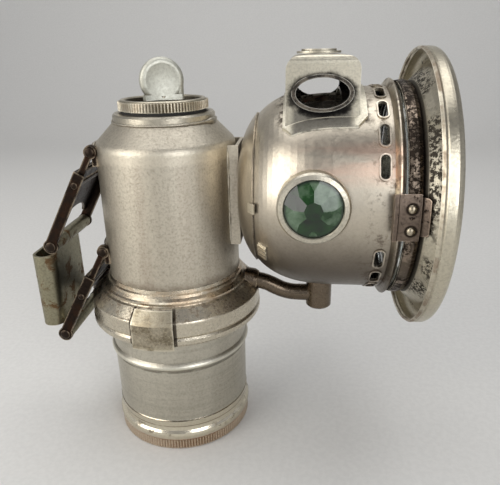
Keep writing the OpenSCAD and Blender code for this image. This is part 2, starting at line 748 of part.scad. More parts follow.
module lamp_body() color(nickel) {
    path = concat(
        head_curve(seam_turn - 2, 90, 14),
        bead_wave(head_r, head_x1 - head_bead_w / 2 - 0.1, head_bead, head_bead_w),
        [[head_r, head_x1]]
    );
    difference() {
        union() {
            along_head() rotate_extrude() polygon(sheet(path, head_wall));
            vents() linear_extrude(head_wall / 2 + vent_lip) vent_shape(vent_rim);
        }
        vents() translate([0, 0, -past]) linear_extrude(3 * past) vent_shape(0);
        translate([hood_xm - flue_l / 2, -flue_w / 2, head_z]) cube([flue_l, flue_w, head_r + past]);
        translate([burner_x, 0, head_z - head_r - past]) cylinder(h = 4, r = burner_tube_r + 0.1);
        translate([jewel_cx, 0, jewel_cz]) rotate([90, 0, 0])
            cylinder(h = 3 * head_r, r = jewel_r - 0.6, center = true);
    }
}

module back_cap() color(nickel) {
    curve = concat([[0, head_x]], head_curve(head_start, seam_turn, 8));
    difference() {
        along_head() rotate_extrude() polygon(sheet(offset_path(curve, -cap_lap - back_wall), back_wall));
        for (at = head_rivets)
            translate([head_x - 2, at[0], at[1]]) rotate([0, 90, 0])
                cylinder(h = 4, r = head_rivet_r + seat);
    }
}

// Folded tabs that hold the back cap, and the ribbed finger piece low on its near side
module back_cap_tabs() color(brass) {
    tab = offset_path(head_curve(seam_turn - 3, seam_turn + 3, 4), -cap_lap - back_wall - 0.1);
    for (turn = [-90, 90]) head_sector(turn, 3.4) polygon(sheet(tab, -0.45));
    grip = offset_path(head_curve(seam_turn + 4, seam_turn + 11, 4), -seat);
    for (i = [-1 : 1]) head_sector(-57 + 4.4 * i, 1.5) polygon(sheet(grip, -0.7));
    head_sector(-57, 7) polygon(sheet(grip, -0.35));
}

module reflector() color("lightgray") {
    path = [for (i = [0 : 12]) let (r = reflector_r * i / 12) [r, reflector_x + r * r / 4 / reflector_f]];
    along_head() rotate_extrude() polygon(sheet(path, -0.5));
}

module hood_outline(g) {
    r = hood_round + g;
    x0 = hood_x0 - g;
    x1 = hood_x1 + g;
    top = hood_top + g;
    foot = head_z + head_r / 2;
    polygon(concat([[x1, foot]], arc(x1 - r, top - r, r, 0, 90, 8), [[hood_xm, top + hood_crown]],
        arc(x0 + r, top - r, r, 90, 180, 8), [[x0, foot]]));
}

// End view of the hood, with its top edges rounded
module hood_section(g) {
    r = hood_edge + g;
    y = hood_w / 2 + g - r;
    top = hood_top + hood_crown + g - r;
    foot = head_z + head_r / 2;
    rotate([90, 0, 90]) translate([0, 0, hood_x0 - past]) linear_extrude(hood_l + 2 * past)
        polygon(concat([[y + r, foot]], arc(y, top, r, 0, 90, 6), arc(-y, top, r, 90, 180, 6),
            [[-y - r, foot]]));
}

module hood_block(g) intersection() {
    rotate([90, 0, 0]) linear_extrude(hood_w + 2 * past, center = true) hood_outline(g);
    hood_section(g);
}

module port_prism(grow, depth) translate([hood_xm, 0, port_z]) rotate([90, 0, 0])
    linear_extrude(depth, center = true)
    polygon(ellipse_points(port_w / 2 + grow, port_h / 2 + grow * 0.8));

module chimney_hood() color(nickel) difference() {
    hood_block(0);
    hood_block(-hood_wall);
    head_solid(seat);
    port_prism(0, 2 * hood_w);
}

module port_rings() color(nickel) both_sides() translate([0, -hood_w / 2 - 0.4, 0]) difference() {
    port_prism(port_ring, 0.8);
    port_prism(0, 2);
}

module hood_saddle() color(nickel) {
    cut = 2.5;
    x0 = hood_x0 - 0.8;
    x1 = hood_x1 + 2.4;
    y1 = hood_w / 2 + 2.4;
    difference() {
        intersection() {
            linear_extrude(hood_top) polygon([
                [x0 + cut, -y1], [x1 - cut, -y1], [x1, cut - y1], [x1, y1 - cut],
                [x1 - cut, y1], [x0 + cut, y1], [x0, y1 - cut], [x0, cut - y1]
            ]);
            head_solid(0.65);
            translate([0, -hood_w, head_z]) cube([3 * hood_w, 2 * hood_w, hood_w]);
        }
        head_solid(seat);
        translate([hood_x0 - seat, -hood_w / 2 - seat, head_z])
            cube([hood_l + 2 * seat, hood_w + 2 * seat, hood_w]);
    }
}

module hood_badge() color(nickel) translate([hood_xm - 0.6, 0, hood_top + hood_crown + 0.02]) {
    linear_extrude(0.6) polygon(ellipse_points(6.6, 4.8));
    linear_extrude(1.2) polygon(ellipse_points(5.2, 3.5));
}

module jewel_place(side) translate([jewel_cx, 0, jewel_cz]) rotate([90 * side, 0, 0]) children();

module jewel_bezel(side) color(nickel) difference() {
    jewel_place(side) rotate_extrude() polygon([
        [jewel_r + seat, head_r - 5], [jewel_bezel_r, head_r - 5], [jewel_bezel_r, head_r + 0.6],
        [jewel_bezel_r - 0.5, head_r + 1.2], [jewel_r + 0.3, head_r + 1.5], [jewel_r + seat, head_r + 1.2]
    ]);
    head_solid(seat);
}

// Pyramid whose faces meet a jewel's girdle at its foot and reach in to a radius at its top
module jewel_pyramid(turn, top_r) {
    corner = 1 / cos(180 / jewel_facets);
    lean = (jewel_r - top_r) / jewel_crown;
    rotate(turn) cylinder(h = jewel_girdle + jewel_crown, r1 = (jewel_r + lean * jewel_girdle) * corner,
        r2 = top_r * corner, $fn = jewel_facets);
}

// Kite facets from the table to the girdle, with lower facets between them
module jewel(side) jewel_place(side) translate([0, 0, head_r + seat]) intersection() {
    kite_r = (jewel_r - (jewel_r - jewel_table_r) * jewel_kite) / cos(180 / jewel_facets);
    cylinder(h = jewel_girdle + jewel_crown, r = jewel_r);
    jewel_pyramid(0, jewel_table_r);
    jewel_pyramid(180 / jewel_facets, jewel_r - (jewel_r - kite_r) / jewel_kite);
}

module near_jewel_bezel() jewel_bezel(1);
module far_jewel_bezel() jewel_bezel(-1);
module green_jewel() color([0.05, 0.35, 0.15, 0.8]) jewel(1);
module red_jewel() color([0.55, 0.05, 0.05, 0.8]) jewel(-1);

module front_bezel() color(nickel) {
    r = neck_bezel_r;
    rim = rim_r - bezel_wall;
    front = bezel_x1 - bezel_wall;
    foot = bezel_x0;
    path = concat(
        [[r, foot], [r + 0.25, foot + 1.2], [r + 0.25, foot + 2.8], [r - 0.1, foot + 3.8],
        [r - 0.8, foot + 4.3]],
        [[r - 0.1, foot + 4.8], [r + 0.6, foot + 5.4], [r + 2.2, foot + 7.1], [r + 4, foot + 8.8]],
        arc(rim - 2, front - 2, 2, 125, 0, 8),
        [[rim, front - 3.4], [rim - 0.3, front - 3.9], [rim, front - 4.5], [rim - 0.3, front - 5]]
    );
    difference() {
        along_head() rotate_extrude() polygon(sheet(path, bezel_wall));
        for (turn = [-4.3, 5.6]) head_spoke(-90 - turn, foot + 1) cylinder(h = 2 * head_r, r = 0.75);
    }
}

module front_glass() color([0.8, 0.9, 0.9, 0.35]) along_head()
    translate([0, 0, glass_x1 - glass_t]) cylinder(h = glass_t, r = glass_r);

module glass_ring() color("gray") along_head() translate([0, 0, glass_x1 - glass_t - glass_wire - 0.02])
    rotate_extrude() translate([glass_r - glass_wire, 0]) circle(glass_wire, $fn = 24);

module catch_plate() color([0.55, 0.4, 0.32]) difference() {
    head_sector(-90 - catch_turn, catch_half) polygon([
        [catch_in, bezel_x0 - 3.8], [catch_in + catch_t + 0.5, bezel_x0 - 3.6],
        [catch_in + catch_t + 0.5, bezel_x0 - 2.6], [catch_in + catch_t, bezel_x0 - 2.3],
        [catch_in + catch_t, bezel_x0 + 3.3], [catch_in, bezel_x0 + 3.5]
    ]);
    for (turn = [-4.3, 5.6]) head_spoke(-90 - turn, bezel_x0 + 1) cylinder(h = 2 * head_r, r = 0.75);
}

module catch_spring() color(tarnish) {
    path = [[neck_bezel_r + 0.3, bezel_x0 + 0.2], [neck_bezel_r + 0.3, bezel_x0 + 3.8],
        [neck_bezel_r + 1.5, bezel_x0 + leaf_l]];
    half = catch_h / 2 - 0.5;
    difference() {
        intersection() {
            head_sector(-90 - catch_turn, catch_half + 1) polygon(sheet(path, -leaf_t));
            head_spoke(-90 - catch_turn, bezel_x0) linear_extrude(2 * head_r) {
                translate([leaf_round - leaf_l, -half]) square([leaf_l, 2 * half]);
                translate([-leaf_l - past, leaf_round - half]) square([leaf_l, 2 * (half - leaf_round)]);
                for (side = [-1, 1]) translate([leaf_round - leaf_l, side * (half - leaf_round)])
                    circle(leaf_round);
            }
        }
        for (turn = [-4.3, 5.6]) head_spoke(-90 - turn, bezel_x0 + 1) cylinder(h = 2 * head_r, r = 0.75);
    }
}

module catch_rivets() color(brass)
    for (turn = [-4.3, 5.6]) head_spoke(-90 - turn, bezel_x0 + 1)
        translate([0, 0, catch_in + catch_t + 0.02]) dome_rivet(1.2, 0.8, 0.7, 2.2);

module hinge_barrel(z0, z1) translate([hinge_x, hinge_y, head_z]) difference() {
    translate([0, 0, z0]) cylinder(h = z1 - z0, r = hinge_r);
    translate([0, 0, z0 - past]) cylinder(h = z1 - z0 + 2 * past, r = hinge_pin_r + run);
}

module hinge_window(z0, z1) translate([hinge_x, hinge_y, head_z + z0])
    cylinder(h = z1 - z0, r = hinge_r + clear);

module body_hinge_leaf() color(tarnish) {
    third = hinge_h / 6;
    difference() {
        head_sector(90, 9) polygon([
            [head_r + seat, hinge_x - 8], [head_r + 0.7, hinge_x - 8], [hinge_out, hinge_x - 3],
            [hinge_out, hinge_x],
            [head_r + head_bead + clear, hinge_x], [head_r + head_bead + clear, hinge_x - 2.2],
            [head_r + seat, hinge_x - 2.2]
        ]);
        hinge_window(-third - 0.1, third + 0.1);
        for (low = [-3 * third, third]) translate([hinge_x, hinge_y, head_z + low])
            cylinder(h = 2 * third, r = 1.2);
    }
    for (low = [-3 * third, third]) hinge_barrel(low, low + 2 * third);
}

module door_hinge_leaf() color(tarnish) {
    third = hinge_h / 6;
    half = third - 0.1;
    difference() {
        union() {
            head_sector(90, 9) polygon([
                [neck_bezel_r + 0.3, bezel_x0 + 0.1], [hinge_out, bezel_x0 + 0.1],
                [hinge_out, bezel_x0 + 2],
                [neck_bezel_r + 0.8, bezel_x0 + 4.2], [neck_bezel_r + 0.3, bezel_x0 + 4.2]
            ]);
            translate([hinge_x, hinge_out - 0.6, head_z - half])
                cube([bezel_x0 + 2 - hinge_x, 1.2, 2 * half]);
        }
        hinge_window(-hinge_h, -half);
        hinge_window(half, hinge_h);
        translate([hinge_x, hinge_y, head_z - half]) cylinder(h = 2 * half, r = 1.2);
    }
    hinge_barrel(-half, half);
}

module door_hinge_pin() color(brass) translate([hinge_x, hinge_y, head_z - hinge_h / 2 - 0.6]) {
    cylinder(h = hinge_h + 1.2, r = hinge_pin_r);
    cylinder(h = 0.5, r = 1.4);
    translate([0, 0, hinge_h + 0.7]) cylinder(h = 0.5, r = 1.4);
}

// Strap soldered round the back of the tank, with an ear at each side for a link
module lug(z) color(tarnish) difference() {
    ear_l = 0.6 - eye_x - sqrt(pow(tank_r, 2) - pow(ear_y + ear_t, 2));
    foot = z - 4.5;
    strap_h = 6;
    strap_t = 0.85;
    wrap = asin((ear_y + ear_t) / (tank_r + 0.9));
    union() {
        rotate(180 - wrap) rotate_extrude(angle = 2 * wrap)
            translate([tank_r + seat, foot]) square([strap_t, strap_h]);
        both_sides() translate([0, ear_y + ear_t, 0]) rotate([90, 0, 0]) linear_extrude(ear_t) {
            translate([eye_x, z]) circle(ear_r);
            translate([eye_x, foot]) square([ear_l, strap_h]);
        }
    }
    tank_solid(seat);
    both_sides() translate([eye_x, ear_y - past, z]) rotate([-90, 0, 0])
        cylinder(h = 4, r = lug_pin_r + run);
}

module upper_lug() lug(upper_z);
module lower_lug() lug(lower_z);

module lug_rivets() color(brass) for (z = [upper_z, lower_z])
    both_sides() translate([eye_x, yoke_y + yoke_t + 0.1, z]) rotate([-90, 0, 0])
        dome_rivet(1.5, 0.6, lug_pin_r, yoke_y + yoke_t + 0.1 - ear_y + 0.2);

// Places a link's side view: x runs along the link from its eye, y towards the tank
module on_link(z) translate([eye_x, 0, z]) rotate([0, link_turn, 0]) rotate([90, 0, 0]) children();

module side_plates(inner, t) for (side = [-1, 1])
    translate([0, 0, side * (inner + t / 2)]) linear_extrude(t, center = true) children();

module link_channel(z, start, rivet_at) color(japan) on_link(z) difference() {
    union() {
        side_plates(link_half_w - link_t, link_t) {
            translate([start, web_out]) square([link_l - start, web_in - web_out]);
            translate([link_l, 0]) circle(knuckle_r + 0.2);
        }
        translate([start, web_out, -link_half_w]) cube([link_l - 4.5 - start, link_t, 2 * link_half_w]);
    }
    translate([link_l + 3, web_out - past, 0]) rotate([-90, 0, 0])
        cylinder(h = link_t + 2 * past - 0.2, r = 14);
    translate([link_l, 0, 0]) cylinder(h = 4 * link_half_w, r = pivot_pin_r + run, center = true);
    translate([rivet_at, -0.3, 0]) cylinder(h = 4 * link_half_w, r = 0.75, center = true);
}

module link_yoke(z, start, rivet_at) color(japan) on_link(z) difference() {
    far = rivet_at + 2;
    union() {
        side_plates(yoke_y, yoke_t) {
            circle(2);
            translate([0, -1]) square([start, 2]);
            translate([start - 0.5, web_out + link_t + 0.02]) square([far - start + 0.5, 2.2]);
        }
        translate([start + 0.6, web_out + link_t + 0.02, -yoke_y - 0.2])
            cube([far - start - 0.6, 0.8, 2 * yoke_y + 0.4]);
    }
    cylinder(h = 4 * link_half_w, r = lug_pin_r + run, center = true);
    translate([rivet_at, -0.3, 0]) cylinder(h = 4 * link_half_w, r = 0.75, center = true);
}

module link_rivets(z, rivet_at) color(brass) on_link(z) for (side = [0, 180]) translate([rivet_at, -0.3, 0])
    rotate([side, 0, 0]) translate([0, 0, link_half_w + 0.02]) dome_rivet(1.1, 0.5, 0.7, 2.1);

module upper_channel() link_channel(upper_z, upper_start, upper_rivet);
module upper_yoke() link_yoke(upper_z, upper_start, upper_rivet);
module upper_link_rivets() link_rivets(upper_z, upper_rivet);
module lower_channel() link_channel(lower_z, lower_start, lower_rivet);
module lower_yoke() link_yoke(lower_z, lower_start, lower_rivet);
module lower_link_rivets() link_rivets(lower_z, lower_rivet);

module slot_shape(grow) {
    flat = slot_w - slot_t;
    translate([socket_cx, 0]) {
        for (side = [-1, 1]) translate([0, side * flat / 2]) circle(slot_t / 2 + grow);
        translate([-slot_t / 2 - grow, -flat / 2]) square([slot_t + 2 * grow, flat]);
    }
}

module bracket_socket() color(nickel) {
    inner_x = socket_cx + slot_t / 2;
    top = socket_bottom + socket_h;
    upper_pivot = upper_z - pivot_drop;
    lower_pivot = lower_z - pivot_drop;
    tongue_half = (slot_w - slot_t) / 2 - 0.5;
    difference() {
        union() {
            difference() {
                translate([0, 0, socket_bottom]) linear_extrude(socket_h) slot_shape(socket_wall);
                translate([0, 0, socket_bottom - past]) linear_extrude(socket_h + 2 * past) slot_shape(0);
            }
            for (span = [[top - past, upper_pivot], [lower_pivot, socket_bottom + past]])
                translate([inner_x, -tongue_half, span[0]])
                    cube([socket_wall, 2 * tongue_half, span[1] - span[0]]);
            for (z = [upper_pivot, lower_pivot]) translate([pivot_x, 0, z]) rotate([90, 0, 0])
                cylinder(h = 2 * knuckle_half, r = knuckle_r, center = true);
        }
        for (z = [upper_pivot, lower_pivot]) translate([pivot_x, 0, z]) rotate([90, 0, 0])
            cylinder(h = 4 * knuckle_half, r = pivot_pin_r + run, center = true);
        translate([socket_out_x - past, 0, socket_bottom + stud_up]) rotate([0, 90, 0])
            cylinder(h = past + socket_wall / 2, r = stud_shank_r + seat);
    }
}

module socket_pins() color(brass) for (z = [upper_z, lower_z]) translate([pivot_x, 0, z - pivot_drop]) {
    rotate([90, 0, 0]) cylinder(h = 2 * link_half_w + 0.4, r = pivot_pin_r, center = true);
    both_sides() translate([0, link_half_w + 0.1, 0]) rotate([-90, 0, 0]) dome_rivet(1.7, 0.6, 0.5, 0.4);
}

module socket_stud() color(brass) translate([socket_out_x - 0.02, 0, socket_bottom + stud_up])
    rotate([0, -90, 0])
    dome_rivet(0.9, 0.9, stud_shank_r, socket_wall / 2);

water_tank();
filler_neck();
joint_collar();
collar_clip();
drip_tube();
filter_plate();
filter_felt();
seal_ring();
gas_union();
gas_pipe();
burner_socket();
burner_tube();
burner_tip();
head_bracket();
bracket_rivets();
lamp_body();
back_cap();
back_cap_tabs();
reflector();
chimney_hood();
hood_saddle();
port_rings();
hood_badge();
near_jewel_bezel();
far_jewel_bezel();
green_jewel();
red_jewel();
upper_lug();
lower_lug();
lug_rivets();
body_hinge_leaf();
door_hinge_pin();
cap_gasket();
filler_cap();
gland_nut();
needle_valve();
regulator_stem();
thumb_piece();
front_bezel();
front_glass();
glass_ring();
catch_plate();
catch_spring();
catch_rivets();
door_hinge_leaf();
carbide_cup();
base_gasket();
base_cap();
carbide_plate();
carbide_spring();
upper_channel();
upper_yoke();
upper_link_rivets();
lower_channel();
lower_yoke();
lower_link_rivets();
bracket_socket();
socket_pins();
socket_stud();
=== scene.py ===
"""Looks of the carbide bicycle lamp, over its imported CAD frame. Lengths are in metres, in the row frame."""

import math

import bmesh
import bpy
from mathutils import Matrix, Vector, noise


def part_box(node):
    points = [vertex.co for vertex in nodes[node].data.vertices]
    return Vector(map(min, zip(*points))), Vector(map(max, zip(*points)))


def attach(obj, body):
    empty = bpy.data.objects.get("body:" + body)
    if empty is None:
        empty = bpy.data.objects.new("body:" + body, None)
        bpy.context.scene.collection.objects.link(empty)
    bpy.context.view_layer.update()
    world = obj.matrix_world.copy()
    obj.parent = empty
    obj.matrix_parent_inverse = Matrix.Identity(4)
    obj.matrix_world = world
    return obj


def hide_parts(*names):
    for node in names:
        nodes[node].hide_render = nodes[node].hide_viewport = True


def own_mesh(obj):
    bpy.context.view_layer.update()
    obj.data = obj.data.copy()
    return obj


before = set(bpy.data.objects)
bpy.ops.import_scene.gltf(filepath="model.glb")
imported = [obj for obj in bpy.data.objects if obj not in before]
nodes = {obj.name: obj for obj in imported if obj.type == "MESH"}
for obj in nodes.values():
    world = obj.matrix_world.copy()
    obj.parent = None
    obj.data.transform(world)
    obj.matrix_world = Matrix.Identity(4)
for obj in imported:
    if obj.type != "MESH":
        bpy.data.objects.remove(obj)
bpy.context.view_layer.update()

MM = 0.001
# Axis of the lamp head, the middle of the hood and of its ports, and the middle of the jewels
HEAD_Z = 89.3 * MM
HOOD_X = 49.05 * MM
PORT_Z = 120.54 * MM
JEWEL_X = 47.1 * MM
JEWEL_Z = 91.7 * MM
# The hood's two bends, along x and along y, each by its half width, top and radius in millimetres
HOOD_BENDS = ((9.95, 130.0, 3.5), (20.0, 130.4, 2.2))
# The two edges of the collar clip, as angles in radians
CLIP_SIDES = (-1.866, -1.380)
# Rivets of the catch plate, in millimetres
CATCH_RIVET_X = 72.3
CATCH_RIVET_Z = (86.69, 92.7)
# Radius and height where the neck meets the shoulder, and the lamp body's radius, in millimetres
NECK_FOOT = (16.35, 111.5)
HEAD_R = 31.5
# End of the gas pipe's sleeve as x and z, the braze's radius round it and its slope in degrees
PIPE_END = (28.9, 55.6)
PIPE_R = 3.05
PIPE_SLOPE = 10
# Sides of a round run of metal or wire
SIDES = 10
# Point that the lamps are turned to, and the camera of the photograph
MIDDLE = (0.02, 0.0, 0.07)
CAMERA_PLACE = (0.04309, -0.16285, 0.13236)
CAMERA_TURN = (-0.1007, 0.3663, -0.0208)
FOCAL_PIXELS = 508.57
PHOTO_WIDTH = 500


def linear(rgb):
    """Linear colour from an sRGB one given in 0 to 255."""
    shares = [c / 255 for c in rgb]
    return tuple(c / 12.92 if c <= 0.04045 else ((c + 0.055) / 1.055) ** 2.4 for c in shares) + (1.0,)


class Tree:
    """A material with short calls for its nodes."""

    def __init__(self, name):
        self.material = bpy.data.materials.new(name)
        self.material.use_nodes = True
        self.nodes = self.material.node_tree.nodes
        self.links = self.material.node_tree.links
        self.shader = self.nodes["Principled BSDF"]
        self.place = self.nodes.new("ShaderNodeTexCoord").outputs["Object"]

    def node(self, kind, inputs=(), **settings):
        """New node with its settings and inputs."""
        made = self.nodes.new(kind)
        for key, value in settings.items():
            setattr(made, key, value)
        for key, value in dict(inputs).items():
            self.put(made.inputs[key], value)
        return made

    def put(self, socket, value):
        """Sets a socket to a value, or links another socket to it."""
        if isinstance(value, bpy.types.NodeSocket):
            self.links.new(value, socket)
        elif value is not None:
            socket.default_value = value

    def math(self, operation, a, b=None, clamp=False):
        """Result of one sum on one or two values."""
        made = self.nodes.new("ShaderNodeMath")
        made.operation, made.use_clamp = operation, clamp
        for socket, value in zip(made.inputs, (a, b)):
            self.put(socket, value)
        return made.outputs[0]

    def noise(self, scale, detail=4.0, rough=0.55, distort=0.0, stretch=None):
        """Noise over the object's own coordinates, from 0 to 1; the scale is in cycles per metre."""
        place = self.place
        if stretch:
            place = self.node("ShaderNodeMapping", {"Vector": place, "Scale": stretch}).outputs[0]
        return self.node("ShaderNodeTexNoise", {
            "Vector": place, "Scale": scale, "Detail": detail, "Roughness": rough, "Distortion": distort,
        }).outputs["Fac"]

    def ramp(self, value, *stops):
        """Colour ramp, whose stops are pairs of a position and a colour."""
        made = self.nodes.new("ShaderNodeValToRGB")
        elements = made.color_ramp.elements
        while len(elements) < len(stops):
            elements.new(0.5)
        for element, (position, colour) in zip(elements, stops):
            element.position, element.color = position, colour
        self.put(made.inputs[0], value)
        return made.outputs[0]

    def step(self, value, low, high):
        """0 below low and 1 above high, either way round."""
        return self.node("ShaderNodeMapRange", {
            "Value": value, "From Min": low, "From Max": high, "To Min": 0.0, "To Max": 1.0,
        }, interpolation_type="SMOOTHSTEP").outputs[0]

    def mix(self, share, a, b):
        """Colour a where share is 0 and colour b where it is 1."""
        made = self.node("ShaderNodeMix", data_type="RGBA")
        for index, value in ((0, share), (6, a), (7, b)):
            self.put(made.inputs[index], value)
        return made.outputs[2]

    def axes(self):
        """The object's own coordinates, X, Y and Z."""
        return self.node("ShaderNodeSeparateXYZ", {"Vector": self.place}).outputs

    def radius(self, a, b, a0=0.0, b0=0.0):
        """Distance from a line, from two coordinates."""
        da, db = self.math("SUBTRACT", a, a0), self.math("SUBTRACT", b, b0)
        squares = [self.math("MULTIPLY", d, d) for d in (da, db)]
        return self.math("SQRT", self.math("ADD", *squares))

    def closeness(self, distance, low, high, inside):
        """1 where other surface is near, seen from outside or from inside the metal."""
        share = self.node("ShaderNodeAmbientOcclusion", {"Distance": distance}, samples=6, inside=inside)
        return self.step(share.outputs["AO"], high, low)

    def crevice(self, distance, low, high):
        """1 in corners and grooves."""
        return self.closeness(distance, low, high, False)

    def edge(self, distance, low, high):
        """1 along outer edges."""
        return self.closeness(distance, low, high, True)

    def bump(self, height, depth, below=None):
        """Raised surface, over another one where that is given; the depth is in metres."""
        inputs = {"Height": height, "Distance": depth}
        if below is not None:
            inputs["Normal"] = below
        return self.node("ShaderNodeBump", inputs).outputs[0]


def metal(name, clean, stain, dark, rough=0.32, tone=0.4, grain=0.5, pits=0.2, worn=None, marks=None,
          dents=0.3, grooves=0.0, rub=0.0004):
    """Old plated metal: slow and fine changes of tone, grain, pits, dirt and painted shade in corners, and
    worn edges.
    """
    t = Tree(name)
    broad = t.step(t.noise(30, 3, 0.5, 0.2), 0.3, 0.72)
    cloud = t.step(t.noise(620, 4, 0.6, 0.2), 0.3, 0.8)
    colour = t.mix(t.math("MULTIPLY", broad, 0.5 * tone), linear(clean), linear(stain))
    colour = t.mix(t.math("MULTIPLY", cloud, 0.5 * tone), colour, linear(stain))
    speck = t.noise(1400, 3, 0.62)
    colour = t.mix(t.math("MULTIPLY", t.step(speck, 0.4, 0.75), 0.5 * grain), colour, linear(dark))
    pit = t.step(t.noise(520, 5, 0.78, 0.2), 0.7 - 0.12 * pits, 0.74 - 0.12 * pits)
    pit = t.math("MULTIPLY", pit, t.step(t.noise(60, 3), 0.42, 0.6))
    colour = t.mix(t.math("MULTIPLY", pit, 0.85), colour, linear(dark))
    # Dirt and painted shade in corners: darker where ambient occlusion finds nearby surface, in patches.
    corner_dirt_and_shade = t.math("MULTIPLY", t.crevice(0.0016, 0.42, 0.82), t.step(t.noise(190, 4), 0.15, 0.55))
    # Painted shade in grooves, as strong as the share given.
    if grooves:
        corner_dirt_and_shade = t.math("MAXIMUM", corner_dirt_and_shade, t.math("MULTIPLY", t.crevice(0.0005, 0.35, 0.8), grooves))
    colour = t.mix(t.math("MULTIPLY", corner_dirt_and_shade, 0.82), colour, linear(dark))
    roughness = t.math("ADD", t.math("MULTIPLY", cloud, 0.08), t.math("MULTIPLY", speck, 0.12 * grain))
    roughness = t.math("ADD", roughness, rough - 0.05)
    roughness = t.math("ADD", roughness, t.math("MULTIPLY", t.math("MAXIMUM", corner_dirt_and_shade, pit), 0.3), clamp=True)
    if marks:
        colour, roughness = marks(t, colour, roughness)
    if worn:
        bare = t.math("MULTIPLY", t.edge(rub, 0.4, 0.85), t.step(t.noise(260, 3), 0.32, 0.55))
        colour = t.mix(t.math("MULTIPLY", bare, 0.85), colour, linear(worn))
    t.put(t.shader.inputs["Base Color"], colour)
    t.put(t.shader.inputs["Roughness"], roughness)
    t.shader.inputs["Metallic"].default_value = 1.0
    rise = t.bump(t.noise(48, 2, 0.4), 0.0005 * dents)
    rise = t.bump(speck, 0.00011 * grain, below=rise)
    rise = t.bump(t.math("MULTIPLY", pit, -1.0), 0.00008, below=rise)
    t.put(t.shader.inputs["Normal"], rise)
    return t.material


def dirt_and_shade(t, colour, roughness, share, tone=(24, 23, 25)):
    """Matte colour of one tone over a share of the metal, used both for real dirt and rust and for painted
    shade.
    """
    colour = t.mix(share, colour, linear(tone))
    return colour, t.math("ADD", roughness, t.math("MULTIPLY", share, 0.35), clamp=True)


def band(t, value, low, high, soft):
    """1 between low and high, in millimetres."""
    rising = t.step(value, (low - soft) * MM, low * MM)
    falling = t.step(value, (high + soft) * MM, high * MM)
    return t.math("MULTIPLY", rising, falling)


def hood_marks(t, colour, roughness):
    """Soot inside the hood, round its ports and down to its lower corners."""
    x, y, z = t.axes()
    across = t.math("SUBTRACT", x, HOOD_X)
    port_out = t.math("DIVIDE", across, 9.2 * MM)
    port_up = t.math("DIVIDE", t.math("SUBTRACT", z, PORT_Z - 0.6 * MM), 5.6 * MM)
    ring = t.radius(port_out, port_up)
    ragged = t.math("ADD", ring, t.math("MULTIPLY", t.noise(300, 5, 0.65), -0.6))
    near_port = t.math("MULTIPLY", t.step(ragged, 0.92, 0.62), 0.92)
    wavy = t.math("ADD", z, t.math("MULTIPLY", t.noise(240, 5, 0.65), 3.5 * MM))
    low = t.step(wavy, 119.2 * MM, 117.4 * MM)
    out_x, out_y = t.math("ABSOLUTE", across), t.math("ABSOLUTE", y)
    low = t.math("MULTIPLY", low, t.step(out_x, 9.4 * MM, 7.0 * MM))
    inside = 1.0
    for out, (half, top, r) in zip((out_x, out_y), HOOD_BENDS):
        past_side = t.math("MAXIMUM", t.math("SUBTRACT", out, (half - r) * MM), 0.0)
        past_top = t.math("MAXIMUM", t.math("SUBTRACT", z, (top - r) * MM), 0.0)
        corner = t.radius(past_side, past_top)
        inside = t.math("MULTIPLY", inside, t.step(corner, (r - 0.05) * MM, (r - 0.14) * MM))
    colour, roughness = dirt_and_shade(t, colour, roughness, t.math("MULTIPLY", low, 0.7), (58, 58, 62))
    return dirt_and_shade(t, colour, roughness, t.math("MAXIMUM", near_port, inside))


def head_marks(t, colour, roughness):
    """Pink copper tone in a streaky band along both flanks, a painted reflection; painted shade over the
    lower half; darker patches just under the hood; and a sooty inside.
    """
    x, y, z = t.axes()
    r = t.radius(y, z, 0.0, HEAD_Z)
    # Painted reflection: a pink copper tone in a streaky band at one height along both flanks.
    streaks = t.noise(120, 5, 0.6, 0.2, (0.16, 1.0, 1.0))
    copper = t.math("MULTIPLY", t.step(streaks, 0.38, 0.62), band(t, z, 101, 106, 5))
    copper = t.math("MULTIPLY", copper, t.step(x, 38 * MM, 50 * MM))
    colour = t.mix(t.math("MULTIPLY", copper, 0.5), colour, linear((214, 172, 150)))
    # Painted shade: the lower half of the barrel darker and browner.
    wavy = t.math("ADD", z, t.math("MULTIPLY", t.noise(60, 3), 9 * MM))
    lower_shade = t.step(wavy, 100 * MM, 74 * MM)
    colour = t.mix(t.math("MULTIPLY", lower_shade, 0.82), colour, linear((80, 71, 63)))
    # Darker patches on the body just under the hood.
    under = t.math("MULTIPLY", t.step(z, 109.5 * MM, 113.5 * MM), t.step(t.noise(380, 6, 0.7), 0.45, 0.58))
    beside = t.math("ABSOLUTE", t.math("SUBTRACT", x, HOOD_X))
    under = t.math("MULTIPLY", under, t.step(beside, 15 * MM, 11 * MM))
    colour, roughness = dirt_and_shade(t, colour, roughness, t.math("MULTIPLY", under, 0.85), (52, 44, 38))
    front = t.math("MULTIPLY", t.step(x, 58 * MM, 65 * MM), t.step(t.noise(300, 6, 0.7), 0.5, 0.64))
    colour, roughness = dirt_and_shade(t, colour, roughness, t.math("MULTIPLY", front, 0.6), (82, 66, 54))
    barrel = t.math("MULTIPLY", t.step(r, 31.2 * MM, 31.05 * MM), t.step(x, 56 * MM, 57 * MM))
    return dirt_and_shade(t, colour, roughness, barrel, (30, 28, 27))


